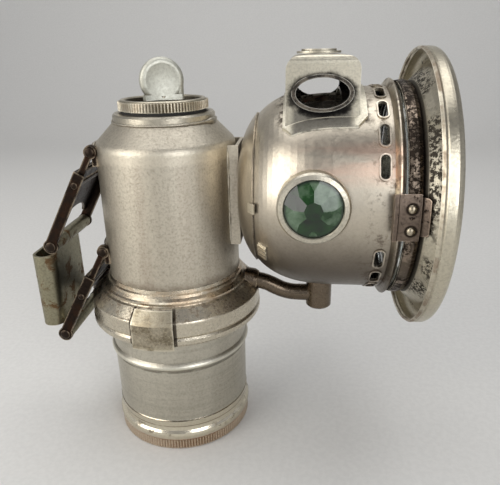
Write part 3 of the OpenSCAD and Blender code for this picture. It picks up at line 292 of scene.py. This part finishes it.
def bezel_marks(t, colour, roughness):
    """Brown neck that has lost its plating, painted shade in the grooves, a pitted cream cone and a satin
    rim.
    """
    x, y, z = t.axes()
    r = t.radius(y, z, 0.0, HEAD_Z)
    neck = t.step(x, 75.7 * MM, 75.3 * MM)
    plate = t.step(t.noise(150, 6, 0.72, 0.4), 0.46, 0.56)
    bare = t.mix(t.math("MULTIPLY", plate, 0.55), linear((84, 70, 60)), linear((160, 142, 126)))
    colour = t.mix(t.math("MULTIPLY", neck, 0.88), colour, bare)
    crowded = t.math("MULTIPLY", t.step(r, 38.0 * MM, 34.2 * MM), 0.11)
    flakes = t.step(t.math("ADD", t.noise(820, 4, 0.75, 0.2), crowded), 0.56, 0.61)
    near_edge = t.math("MAXIMUM", t.step(r, 38.2 * MM, 34.8 * MM), t.step(r, 38.4 * MM, 40.2 * MM))
    near_edge = t.math("ADD", near_edge, 0.2, clamp=True)
    cone = t.math("MULTIPLY", t.step(x, 76.2 * MM, 76.6 * MM), t.step(r, 41.6 * MM, 41.0 * MM))
    flakes = t.math("MULTIPLY", flakes, t.math("MULTIPLY", near_edge, t.step(t.noise(80, 4), 0.38, 0.5)))
    flakes = t.math("MULTIPLY", t.math("MAXIMUM", cone, neck), flakes)
    colour, roughness = dirt_and_shade(t, colour, roughness, t.math("MULTIPLY", flakes, 0.92), (40, 34, 30))
    # Painted shade: near-black in the grooves and along the inner lap of the bezel.
    grooves = t.math("MAXIMUM", band(t, x, 75.2, 76.2, 0.3), band(t, x, 60.0, 71.6, 0.2))
    grooves = t.math("MULTIPLY", grooves, t.step(r, 34.2 * MM, 33.6 * MM))
    colour, roughness = dirt_and_shade(t, colour, roughness, t.math("MULTIPLY", grooves, 0.85), (34, 28, 24))
    line = t.math("MULTIPLY", t.step(x, 78.6 * MM, 78.2 * MM), t.step(r, 41.2 * MM, 41.8 * MM))
    line = t.math("MULTIPLY", line, t.step(t.noise(200, 4), 0.4, 0.6))
    return dirt_and_shade(t, colour, roughness, t.math("MULTIPLY", line, 0.6), (112, 86, 66))


def collar_marks(t, colour, roughness):
    """Brassy moulding, brown spotting over the sloping flange and a plainer skirt."""
    x, y, z = t.axes()
    brassy = t.math("MULTIPLY", t.step(z, 56.7 * MM, 57.2 * MM), t.step(t.noise(110, 5), 0.4, 0.62))
    colour = t.mix(t.math("MULTIPLY", brassy, 0.5), colour, linear((190, 158, 122)))
    spots = t.step(t.noise(420, 6, 0.78), 0.48, 0.6)
    spots = t.math("MULTIPLY", band(t, z, 53.6, 57.0, 0.7), spots)
    colour, roughness = dirt_and_shade(t, colour, roughness, t.math("MULTIPLY", spots, 0.7), (84, 66, 50))
    # Painted shade in the creases of the moulding, where ambient occlusion finds nearby surface.
    lines = t.math("MULTIPLY", t.step(z, 57.2 * MM, 57.6 * MM), t.crevice(0.0008, 0.4, 0.8))
    colour, roughness = dirt_and_shade(t, colour, roughness, t.math("MULTIPLY", lines, 0.7), (60, 46, 34))
    # Painted shadow: thin dark lines on the collar along both edges of the clip.
    turn = t.math("ARCTAN2", y, x)
    away = [t.math("ABSOLUTE", t.math("SUBTRACT", turn, side)) for side in CLIP_SIDES]
    beside = t.math("MAXIMUM", *[t.step(a, 0.026, 0.014) for a in away])
    beside = t.math("MULTIPLY", beside, t.step(t.radius(x, y), 25.4 * MM, 26.0 * MM))
    beside = t.math("MULTIPLY", beside, t.step(t.noise(420, 4, 0.6), 0.25, 0.45))
    return dirt_and_shade(t, colour, roughness, t.math("MULTIPLY", beside, 0.85), (50, 41, 32))


def clip_marks(t, colour, roughness):
    """Darker, grainier face on the skirt."""
    z = t.axes()["Z"]
    face = t.math("MULTIPLY", band(t, z, 45.6, 52.4, 0.5), t.step(t.noise(1100, 4, 0.7), 0.3, 0.6))
    return dirt_and_shade(t, colour, roughness, t.math("MULTIPLY", face, 0.55), (84, 74, 60))


def tank_marks(t, colour, roughness):
    """Faint streaks down the wall, a painted highlight along the shoulder's bend and a brown tide mark at the
    foot.
    """
    z = t.axes()["Z"]
    streaks = t.step(t.noise(190, 4, 0.6, 0.2, (1.0, 1.0, 0.06)), 0.4, 0.75)
    streaks = t.math("MULTIPLY", streaks, t.step(z, 103.5 * MM, 102.5 * MM))
    colour = t.mix(t.math("MULTIPLY", streaks, 0.3), colour, linear((138, 120, 106)))
    # Painted highlight: a pale band along the shoulder's bend.
    shoulder_highlight = band(t, z, 101.6, 104.2, 1.6)
    colour = t.mix(t.math("MULTIPLY", shoulder_highlight, 0.4), colour, linear((222, 214, 196)))
    wavy = t.math("ADD", z, t.math("MULTIPLY", t.noise(150, 4), 5 * MM))
    foot = t.step(wavy, 67 * MM, 63.5 * MM)
    return dirt_and_shade(t, colour, roughness, t.math("MULTIPLY", foot, 0.5), (100, 84, 66))


def cap_marks(t, colour, roughness):
    """Painted shade in the recess inside the milled edge."""
    x, y, z = t.axes()
    r = t.radius(x, y)
    # Painted shade: near-black in the recess round the hub, in patches.
    recess = t.math("MULTIPLY", t.step(z, 117.8 * MM, 117.4 * MM), t.step(r, 12.9 * MM, 12.6 * MM))
    recess = t.math("MULTIPLY", recess, t.step(t.noise(300, 5, 0.7), 0.2, 0.5))
    colour, roughness = dirt_and_shade(t, colour, roughness, t.math("MULTIPLY", recess, 0.8), (46, 42, 38))
    edge = t.math("MULTIPLY", t.step(r, 13.5 * MM, 13.8 * MM), t.step(t.noise(160, 3), 0.35, 0.6))
    return t.mix(t.math("MULTIPLY", edge, 0.5), colour, linear((150, 132, 108))), roughness


def base_marks(t, colour, roughness):
    """Pinkish milled edge, a thin copper line over it, two dark lines higher up and spots in the hollow."""
    z = t.axes()["Z"]
    edge = t.step(z, 4.2 * MM, 3.7 * MM)
    colour = t.mix(t.math("MULTIPLY", edge, 0.55), colour, linear((206, 180, 158)))
    line = band(t, z, 3.9, 4.3, 0.25)
    colour = t.mix(t.math("MULTIPLY", line, 0.7), colour, linear((184, 140, 118)))
    lines = t.math("MAXIMUM", band(t, z, 9.3, 9.4, 0.16), band(t, z, 11.75, 11.85, 0.16))
    lines = t.math("MULTIPLY", lines, t.step(t.noise(240, 4), 0.2, 0.45))
    colour = t.mix(t.math("MULTIPLY", lines, 0.8), colour, linear((96, 82, 62)))
    spots = t.math("MULTIPLY", band(t, z, 6.4, 8.4, 0.8), t.step(t.noise(280, 5, 0.7), 0.55, 0.64))
    return dirt_and_shade(t, colour, roughness, t.math("MULTIPLY", spots, 0.7), (92, 80, 64))


def cup_marks(t, colour, roughness):
    """Faint turning lines, a painted highlight along the raised band and painted shade under it."""
    z = t.axes()["Z"]
    turned = t.step(t.noise(900, 3, 0.6, 0.0, (0.03, 0.03, 1.0)), 0.4, 0.7)
    colour = t.mix(t.math("MULTIPLY", turned, 0.2), colour, linear((126, 119, 106)))
    cloud = t.step(t.noise(90, 4, 0.6, 0.2, (1.0, 1.0, 0.25)), 0.38, 0.7)
    colour = t.mix(t.math("MULTIPLY", cloud, 0.22), colour, linear((132, 124, 110)))
    # Painted highlight: a pale line along the raised band.
    colour = t.mix(t.math("MULTIPLY", band(t, z, 33.6, 34.4, 0.4), 0.55), colour, linear((228, 224, 208)))
    # Painted shade: a dark line under the raised band.
    under = t.math("MULTIPLY", band(t, z, 31.7, 32.2, 0.3), t.step(t.noise(200, 4), 0.25, 0.5))
    return dirt_and_shade(t, colour, roughness, t.math("MULTIPLY", under, 0.55), (74, 68, 56))


def catch_marks(t, colour, roughness):
    """Dark rings round the rivets of the catch plate."""
    x, y, z = t.axes()
    for height in CATCH_RIVET_Z:
        r = t.radius(x, z, CATCH_RIVET_X * MM, height * MM)
        ring = t.math("MULTIPLY", t.step(r, 1.95 * MM, 1.5 * MM), t.step(y, -30 * MM, -31 * MM))
        colour, roughness = dirt_and_shade(t, colour, roughness, t.math("MULTIPLY", ring, 0.85), (34, 28, 24))
    return colour, roughness


def ring_marks(t, colour, roughness):
    """Sooty port ring."""
    share = t.step(t.noise(420, 5, 0.7), 0.36, 0.6)
    return dirt_and_shade(t, colour, roughness, t.math("MULTIPLY", share, 0.85), (30, 29, 30))


def reflector_marks(t, colour, roughness):
    """Sooty back."""
    normal = t.node("ShaderNodeTexCoord").outputs["Normal"]
    forward = t.node("ShaderNodeSeparateXYZ", {"Vector": normal}).outputs["X"]
    return dirt_and_shade(t, colour, roughness, t.step(forward, 0.1, 0.0), (34, 31, 29))


def rust_marks(t, colour, roughness):
    """Brown rust through the dark finish."""
    rust = t.math("MULTIPLY", t.step(t.noise(160, 7, 0.72, 0.5), 0.5, 0.62), 0.6)
    return dirt_and_shade(t, colour, roughness, rust, (56, 37, 26))


def socket_marks(t, colour, roughness):
    """Yellow-brown rust spots on old nickel, and painted shade inside."""
    spots = t.math("MULTIPLY", t.step(t.noise(170, 7, 0.75, 0.5), 0.52, 0.6), 0.8)
    colour, roughness = dirt_and_shade(t, colour, roughness, spots, (104, 72, 40))
    # Painted shade inside the socket, where ambient occlusion finds its other walls.
    inside = t.crevice(0.004, 0.2, 0.5)
    return dirt_and_shade(t, colour, roughness, t.math("MULTIPLY", inside, 0.7), (34, 30, 26))


def plain(name, tone, rough, scale, other, depth=0.00005):
    """Matte material in two tones with a fine surface."""
    t = Tree(name)
    fine = t.noise(scale, 5, 0.6)
    t.put(t.shader.inputs["Base Color"], t.mix(t.step(fine, 0.35, 0.65), linear(tone), linear(other)))
    t.put(t.shader.inputs["Roughness"], t.math("ADD", t.math("MULTIPLY", fine, 0.2), rough - 0.1))
    t.put(t.shader.inputs["Normal"], t.bump(fine, depth))
    return t.material


def glass(name, tone, rough, dust=0.1):
    """Clear glass with a little dust."""
    t = Tree(name)
    haze = t.math("MULTIPLY", t.step(t.noise(220, 5, 0.6), 0.45, 0.75), dust)
    t.put(t.shader.inputs["Base Color"], t.mix(haze, linear(tone), linear((150, 150, 140))))
    t.put(t.shader.inputs["Roughness"], t.math("ADD", haze, rough))
    t.shader.inputs["Transmission Weight"].default_value = 1.0
    t.shader.inputs["IOR"].default_value = 1.52
    t.put(t.shader.inputs["Normal"], t.bump(t.noise(140, 2), 0.00004))
    return t.material


def jewel(name, deep, lively, pale):
    """Cut glass with a dark hollow behind it: each facet has a tone of its own, painted light from deep to
    pale by its facing, the outer ones paler, and a painted shadow at its edge.
    """
    t = Tree(name)
    # Painted reflections: each facet's tone comes from its facing, from deep through lively to pale, and
    # grows paler outwards.
    facing = t.node("ShaderNodeNewGeometry").outputs["True Normal"]
    tone = t.node("ShaderNodeTexNoise", {
        "Vector": facing, "Scale": 2.4, "Detail": 1.0, "Roughness": 0.5,
    }).outputs["Fac"]
    depth = t.noise(420, 4, 0.6)
    tone = t.math("ADD", tone, t.math("MULTIPLY", t.math("SUBTRACT", depth, 0.5), 0.3))
    place = t.axes()
    r = t.radius(place["X"], place["Z"], JEWEL_X, JEWEL_Z)
    tone = t.math("ADD", tone, t.math("MULTIPLY", t.step(r, 1.5 * MM, 6.5 * MM), 0.06))
    # Painted shadow: a dark ring where the glass meets its bezel.
    rim = t.step(r, 7.0 * MM, 7.9 * MM)
    colour = t.ramp(tone, (0.38, linear(deep)), (0.52, linear(lively)), (0.7, linear(pale)))
    t.put(t.shader.inputs["Base Color"], t.mix(t.math("MULTIPLY", rim, 0.9), colour, linear(deep)))
    scratch = t.step(t.noise(500, 4, 0.7, 0.4, (1.0, 1.0, 0.2)), 0.55, 0.7)
    t.put(t.shader.inputs["Roughness"], t.math("ADD", t.math("MULTIPLY", scratch, 0.12), 0.05))
    t.shader.inputs["Transmission Weight"].default_value = 0.12
    t.shader.inputs["IOR"].default_value = 1.52
    t.shader.inputs["Coat Weight"].default_value = 0.15
    t.shader.inputs["Coat Roughness"].default_value = 0.03
    return t.material


looks = {
    "tank": metal("tank_nickel", clean=(200, 193, 177), stain=(168, 156, 140), dark=(116, 104, 90),
        rough=0.42, tone=0.35, grain=0.75, pits=0.0, worn=(226, 220, 202), marks=tank_marks, dents=0.35),
    "neck": metal("neck_nickel", clean=(204, 198, 182), stain=(168, 156, 136), dark=(64, 54, 44),
        rough=0.32, tone=0.5, grain=0.5, pits=0.2, worn=(224, 218, 200)),
    "cap": metal("cap_nickel", clean=(200, 194, 176), stain=(160, 146, 126), dark=(62, 50, 40),
        rough=0.34, tone=0.5, grain=0.5, pits=0.1, worn=(226, 220, 202), marks=cap_marks, dents=0.1,
        grooves=0.95),
    "thumb": metal("thumb_nickel", clean=(206, 206, 195), stain=(186, 184, 170), dark=(120, 114, 100),
        rough=0.52, tone=0.4, grain=0.5, pits=0.0, worn=(232, 231, 220), dents=0.05),
    "collar": metal("collar_nickel", clean=(206, 198, 180), stain=(168, 154, 132), dark=(60, 48, 38),
        rough=0.28, tone=0.5, grain=0.5, pits=0.15, worn=(228, 220, 200), marks=collar_marks),
    "clip": metal("clip_nickel", clean=(164, 154, 132), stain=(136, 124, 102), dark=(60, 48, 38),
        rough=0.36, tone=0.5, grain=0.8, pits=0.2, worn=(222, 214, 194), marks=clip_marks, dents=0.2,
        rub=0.0006),
    # Paler copy of the nickel for the seam tabs: a painted highlight for the glint they catch.
    "tab": metal("tab_nickel", clean=(226, 219, 202), stain=(186, 176, 158), dark=(136, 124, 108),
        rough=0.3, tone=0.4, grain=0.4, pits=0.0, worn=(236, 230, 214)),
    "solder": metal("grey_solder", clean=(190, 184, 170), stain=(150, 142, 126), dark=(74, 64, 54),
        rough=0.4, tone=0.6, grain=0.7, pits=0.1, worn=(222, 216, 200)),
    "braze": metal("brown_braze", clean=(120, 104, 84), stain=(88, 74, 58), dark=(40, 32, 26),
        rough=0.36, tone=0.6, grain=0.7, pits=0.2, worn=(170, 154, 128)),
    "cup": metal("cup_satin_nickel", clean=(198, 193, 179), stain=(178, 171, 156), dark=(118, 110, 98),
        rough=0.36, tone=0.25, grain=0.6, pits=0.0, worn=(216, 212, 196), marks=cup_marks, dents=0.2),
    "base": metal("base_nickel", clean=(222, 214, 194), stain=(184, 170, 146), dark=(74, 62, 48),
        rough=0.2, tone=0.3, grain=0.3, pits=0.0, worn=(236, 226, 202), marks=base_marks, dents=0.12,
        grooves=0.8),
    "head": metal("head_nickel", clean=(206, 197, 180), stain=(170, 157, 141), dark=(72, 62, 54),
        rough=0.34, tone=0.35, grain=0.25, pits=0.06, worn=(226, 216, 198), marks=head_marks, dents=0.3),
    "hood": metal("hood_nickel", clean=(212, 206, 188), stain=(178, 168, 148), dark=(50, 44, 40),
        rough=0.36, tone=0.4, grain=0.5, pits=0.15, worn=(228, 222, 206), marks=hood_marks),
    "ring": metal("port_nickel", clean=(130, 122, 110), stain=(84, 76, 68), dark=(34, 30, 28),
        rough=0.3, tone=0.5, grain=0.5, pits=0.2, worn=(214, 210, 198), marks=ring_marks),
    "bezel": metal("bezel_nickel", clean=(200, 193, 174), stain=(168, 157, 138), dark=(54, 46, 38),
        rough=0.3, tone=0.4, grain=0.45, pits=0.05, worn=(230, 222, 204), marks=bezel_marks),
    "copper": metal("copper_brown", clean=(124, 110, 98), stain=(80, 69, 61), dark=(34, 27, 23),
        rough=0.3, tone=0.9, grain=0.8, pits=0.9, worn=(196, 176, 156), marks=catch_marks),
    "stud": metal("catch_stud", clean=(182, 172, 152), stain=(138, 122, 96), dark=(52, 42, 32),
        rough=0.28, tone=0.6, grain=0.5, pits=0.1, worn=(224, 214, 190)),
    "pipe": metal("brown_pipe", clean=(112, 100, 86), stain=(82, 70, 58), dark=(38, 31, 26),
        rough=0.26, tone=0.5, grain=0.5, pits=0.2, worn=(160, 146, 126)),
    "brass": metal("dull_brass", clean=(148, 124, 88), stain=(108, 88, 62), dark=(42, 33, 24),
        rough=0.3, tone=0.6, grain=0.6, pits=0.3, worn=(190, 168, 128)),
    "rivet": metal("dark_rivet", clean=(52, 44, 38), stain=(34, 27, 23), dark=(16, 13, 11),
        rough=0.34, tone=0.6, grain=0.6, pits=0.3, worn=(112, 98, 82)),
    "bracket": metal("bracket_dark", clean=(44, 36, 31), stain=(28, 22, 18), dark=(14, 11, 10),
        rough=0.34, tone=0.6, grain=0.7, pits=0.3, worn=(176, 160, 138), marks=rust_marks, dents=0.3,
        rub=0.0007),
    "socket": metal("socket_nickel", clean=(150, 146, 124), stain=(122, 114, 90), dark=(54, 42, 30),
        rough=0.38, tone=0.7, grain=0.7, pits=0.6, worn=(200, 192, 164), marks=socket_marks),
    "steel": metal("inner_steel", clean=(110, 106, 100), stain=(80, 70, 62), dark=(34, 28, 24),
        rough=0.4, tone=0.5, grain=0.6, pits=0.5),
    "silver": metal("reflector_silver", clean=(196, 190, 176), stain=(150, 140, 122), dark=(60, 52, 44),
        rough=0.18, tone=0.5, grain=0.3, pits=0.1, marks=reflector_marks),
    "ceramic": plain("burner_ceramic", (222, 210, 184), 0.8, 700, (196, 178, 148)),
    "rubber": plain("seal_rubber", (28, 27, 26), 0.75, 900, (44, 42, 40)),
    "felt": plain("filter_felt", (150, 130, 96), 0.95, 1600, (110, 92, 64), 0.0003),
    "clear": glass("clear_glass", (240, 246, 244), 0.02),
    "green": jewel("green_glass", (3, 20, 6), (10, 56, 8), (108, 128, 106)),
    "red": jewel("red_glass", (34, 3, 3), (118, 9, 8), (132, 66, 60)),
}
wear = {
    "tank": ["water_tank", "head_bracket"],
    "cap": ["filler_cap"],
    "thumb": ["thumb_piece"],
    "collar": ["joint_collar"],
    "clip": ["collar_clip"],
    "cup": ["carbide_cup"],
    "base": ["base_cap"],
    "head": ["lamp_body", "back_cap"],
    "tab": ["back_cap_tabs"],
    "hood": ["chimney_hood", "hood_saddle", "hood_badge"],
    "ring": ["port_rings"],
    "bezel": ["front_bezel"],
    "neck": ["filler_neck", "near_jewel_bezel", "far_jewel_bezel", "gland_nut", "regulator_stem"],
    "copper": ["catch_plate", "catch_spring", "body_hinge_leaf", "door_hinge_leaf"],
    "pipe": ["gas_pipe", "burner_socket", "gas_union"],
    "stud": ["catch_rivets"],
    "brass": ["drip_tube", "filter_plate", "burner_tube", "door_hinge_pin", "needle_valve"],
    "rivet": ["bracket_rivets", "lug_rivets", "upper_link_rivets", "lower_link_rivets",
              "socket_pins", "socket_stud"],
    "bracket": ["upper_lug", "lower_lug", "upper_channel", "upper_yoke", "lower_channel", "lower_yoke"],
    "socket": ["bracket_socket"],
    "steel": ["carbide_plate", "carbide_spring", "glass_ring"],
    "silver": ["reflector"],
    "ceramic": ["burner_tip"],
    "rubber": ["seal_ring", "cap_gasket", "base_gasket"],
    "felt": ["filter_felt"],
    "clear": ["front_glass"],
    "green": ["green_jewel"],
    "red": ["red_jewel"],
}
for look, names in wear.items():
    for name in names:
        for slot in nodes[name].material_slots:
            slot.material = looks[look]


def object_from(made, name, material):
    """Smooth object of a mesh that has been made."""
    for face in made.faces:
        face.smooth = True
    mesh = bpy.data.meshes.new(name)
    made.to_mesh(mesh)
    made.free()
    mesh.materials.append(material)
    thing = bpy.data.objects.new(name, mesh)
    bpy.context.collection.objects.link(thing)
    return thing


def join_rings(made, rings, closed=False):
    """Walls between rings of vertices, with flat ends unless the last ring meets the first."""
    pairs = list(zip(rings, rings[1:]))
    if closed:
        pairs.append((rings[-1], rings[0]))
    for a, b in pairs:
        for k in range(SIDES):
            made.faces.new((a[k], a[(k + 1) % SIDES], b[(k + 1) % SIDES], b[k]))
    if not closed:
        made.faces.new(rings[0])
        made.faces.new(reversed(rings[-1]))
    bmesh.ops.recalc_face_normals(made, faces=made.faces)


def run_of_metal(name, path, thick, look, slot, closed=False, lump=None):
    """Uneven run of solder along a path in millimetres.

    A lump is a place, a reach and the share of thickness that is added there.
    """
    slow, quick, skin = 330, 900, 1500
    made = bmesh.new()
    places = [Vector(p) * MM for p in path]
    last = len(places) - 1
    rings = []
    for i, place in enumerate(places):
        before = places[i - 1] if closed or i else place
        after = places[(i + 1) % (last + 1)] if closed or i < last else place
        along = (after - before).normalized()
        up = Vector((1, 0, 0)) if abs(along.z) > 0.8 else Vector((0, 0, 1))
        side = along.cross(up).normalized()
        up = side.cross(along)
        share = 0.66 + 0.4 * noise.noise(place * slow) + 0.2 * noise.noise(place * quick)
        if lump:
            middle, reach, more = lump
            share += more * math.exp(-((place - Vector(middle) * MM).length / (reach * MM)) ** 2)
        if not closed:
            share *= min(1.0, 0.2 + 0.3 * min(i, last - i))
        ring = []
        for k in range(SIDES):
            a = 2 * math.pi * k / SIDES
            out = math.cos(a) * side + math.sin(a) * up
            r = thick * MM * share * (1 + 0.16 * noise.noise(place * skin + out * 2))
            ring.append(made.verts.new(place + out * r))
        rings.append(ring)
    join_rings(made, rings, closed)
    run = object_from(made, name, looks[look])
    return run


def arc(centre_x, r, height, start, end, count):
    """Points round an upright axis between two angles in degrees. The height may be a function of y."""
    points = []
    for i in range(count):
        a = math.radians(start + (end - start) * i / count)
        x, y = centre_x + r * math.cos(a), r * math.sin(a)
        points.append((x, y, height(y) if callable(height) else height))
    return points


def under_head(y):
    """Height of the lamp body's underside, in millimetres."""
    return HEAD_Z / MM - math.sqrt(HEAD_R ** 2 - y ** 2)


def pipe_end():
    """Points round the upper part of the gas pipe where it leaves its sleeve."""
    slope = math.radians(PIPE_SLOPE)
    points, last = [], 39
    for i in range(last + 1):
        a = math.radians(-125 + 250 * i / last)
        out = PIPE_R * math.cos(a)
        points.append((PIPE_END[0] + out * math.sin(slope), PIPE_R * math.sin(a),
                       PIPE_END[1] + out * math.cos(slope)))
    return points


def solder():
    """Runs of solder and braze where the fixed parts meet."""
    grey, brown = ("solder", "nickel_tank"), ("braze", "brown_pipe")
    neck_r, neck_z = NECK_FOOT
    drop = ((16.4, -4.5, 111.4), 3.2, 1.3)
    fixed = [run_of_metal("neck_solder", arc(0, neck_r, neck_z, 0, 360, 160), 0.5, *grey, True, drop)]
    seam_x, seam_y, seam_foot, pace, count = 21.04, 8.12, 72.6, 0.6, 53
    for name, side in (("near", -1), ("far", 1)):
        seam = [(seam_x, side * seam_y, seam_foot + pace * i) for i in range(count)]
        fixed.append(run_of_metal("head_bracket_solder_" + name, seam, 0.5, *grey))
    lug_r = 22.75
    for name, foot in (("upper", 98.8), ("lower", 66.0)):
        for edge, z in (("foot", foot + 0.1), ("top", foot + 5.95)):
            path = arc(0, lug_r, z, 149, 211, 60)
            fixed.append(run_of_metal(f"{name}_lug_solder_{edge}", path, 0.42, *grey))
    burner_x, burner_r = 50.6, 4.5
    path = arc(burner_x, burner_r, under_head, 0, 360, 60)
    fixed.append(run_of_metal("burner_socket_braze", path, 0.45, *brown, True))
    fixed.append(run_of_metal("pipe_braze", pipe_end(), 0.42, *brown))
    for piece in fixed:
        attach(piece, "generator")


def coil():
    """Spring with closed end turns."""
    low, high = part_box("carbide_spring")
    height = high[2] - low[2]
    wire, turns, steps, closed = 0.6 * MM, 6, 36, 1.3 * MM
    r, z = high[0] - wire, low[2] + wire
    pitch = (height - 2 * wire - 2 * closed) / (turns - 2)
    made = bmesh.new()
    rings = []
    for i in range(turns * steps + 1):
        a = 2 * math.pi * i / steps
        ring = []
        for k in range(SIDES):
            b = 2 * math.pi * k / SIDES
            q = r + wire * math.cos(b)
            ring.append(made.verts.new((q * math.cos(a), q * math.sin(a), z + wire * math.sin(b))))
        rings.append(ring)
        z += (closed if i < steps or i >= (turns - 1) * steps else pitch) / steps
    join_rings(made, rings)
    spring = object_from(made, "carbide_coil", looks["steel"])
    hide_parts("carbide_spring")
    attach(spring, "generator")
    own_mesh(spring)


def backdrop():
    """Pale floor that curves up behind the lamp."""
    front, back, half_width, bend, top, steps = -1.6, 0.55, 2.4, 0.35, 1.4, 12
    points = [(front, 0.0)]
    for i in range(steps + 1):
        a = math.radians(90 * i / steps)
        points.append((back + bend * math.sin(a), bend * (1 - math.cos(a))))
    points.append((back + bend, top))
    made = bmesh.new()
    rows = [[made.verts.new((x, y, z)) for y, z in points] for x in (-half_width, half_width)]
    for i in range(len(points) - 1):
        made.faces.new((rows[0][i], rows[1][i], rows[1][i + 1], rows[0][i + 1]))
    paper = plain("floor_paper", (216, 215, 212), 0.85, 500, (211, 210, 207), 0.00002)
    floor = object_from(made, "floor", paper)


def sky():
    """Plain grey world, darker overhead."""
    world = bpy.data.worlds.new("studio")
    bpy.context.scene.world = world
    world.use_nodes = True
    tree = world.node_tree
    up = tree.nodes.new("ShaderNodeSeparateXYZ")
    tree.links.new(tree.nodes.new("ShaderNodeTexCoord").outputs["Generated"], up.inputs[0])
    ramp = tree.nodes.new("ShaderNodeValToRGB")
    ramp.color_ramp.elements[0].color = (0.52, 0.53, 0.55, 1)
    ramp.color_ramp.elements[1].color = (0.10, 0.10, 0.11, 1)
    tree.links.new(up.outputs["Z"], ramp.inputs[0])
    tree.links.new(ramp.outputs[0], tree.nodes["Background"].inputs["Color"])


def soft_box(name, place, size, power, colour):
    """Soft lamp turned to the middle of the object; size in metres, power in watts."""
    data = bpy.data.lights.new(name, "AREA")
    data.shape, data.size, data.size_y = "RECTANGLE", size[0], size[1]
    data.energy, data.color = power, colour
    made = bpy.data.objects.new(name, data)
    bpy.context.collection.objects.link(made)
    made.location = place
    made.visible_camera = False
    made.rotation_euler = (Vector(MIDDLE) - Vector(place)).to_track_quat("-Z", "Y").to_euler()


def view():
    """Camera at the photograph's place and angle."""
    data = bpy.data.cameras.new("camera")
    data.sensor_width = 36.0
    data.lens = data.sensor_width * FOCAL_PIXELS / PHOTO_WIDTH
    data.clip_start, data.clip_end = 0.01, 10
    camera = bpy.data.objects.new("camera", data)
    bpy.context.collection.objects.link(camera)
    yaw, pitch, roll = CAMERA_TURN
    ahead = Vector((math.sin(yaw) * math.cos(pitch), math.cos(yaw) * math.cos(pitch), -math.sin(pitch)))
    right = Vector((math.cos(yaw), -math.sin(yaw), 0))
    up = right.cross(ahead)
    across = math.cos(roll) * right + math.sin(roll) * up
    upward = math.cos(roll) * up - math.sin(roll) * right
    turn = Matrix((across, upward, -ahead)).transposed()
    camera.matrix_world = Matrix.Translation(CAMERA_PLACE) @ turn.to_4x4()
    bpy.context.scene.camera = camera
    bpy.context.scene.view_settings.view_transform = "Standard"


solder()
coil()
backdrop()
sky()
soft_box("left", (-0.50, -0.44, 0.34), (0.48, 0.68), 3.3, (1.0, 0.97, 0.92))
soft_box("right", (0.37, -0.58, 0.32), (0.34, 0.56), 2.1, (0.97, 0.98, 1.0))
soft_box("top", (0.0, 0.12, 0.85), (0.9, 0.6), 3.7, (1.0, 1.0, 1.0))
view()
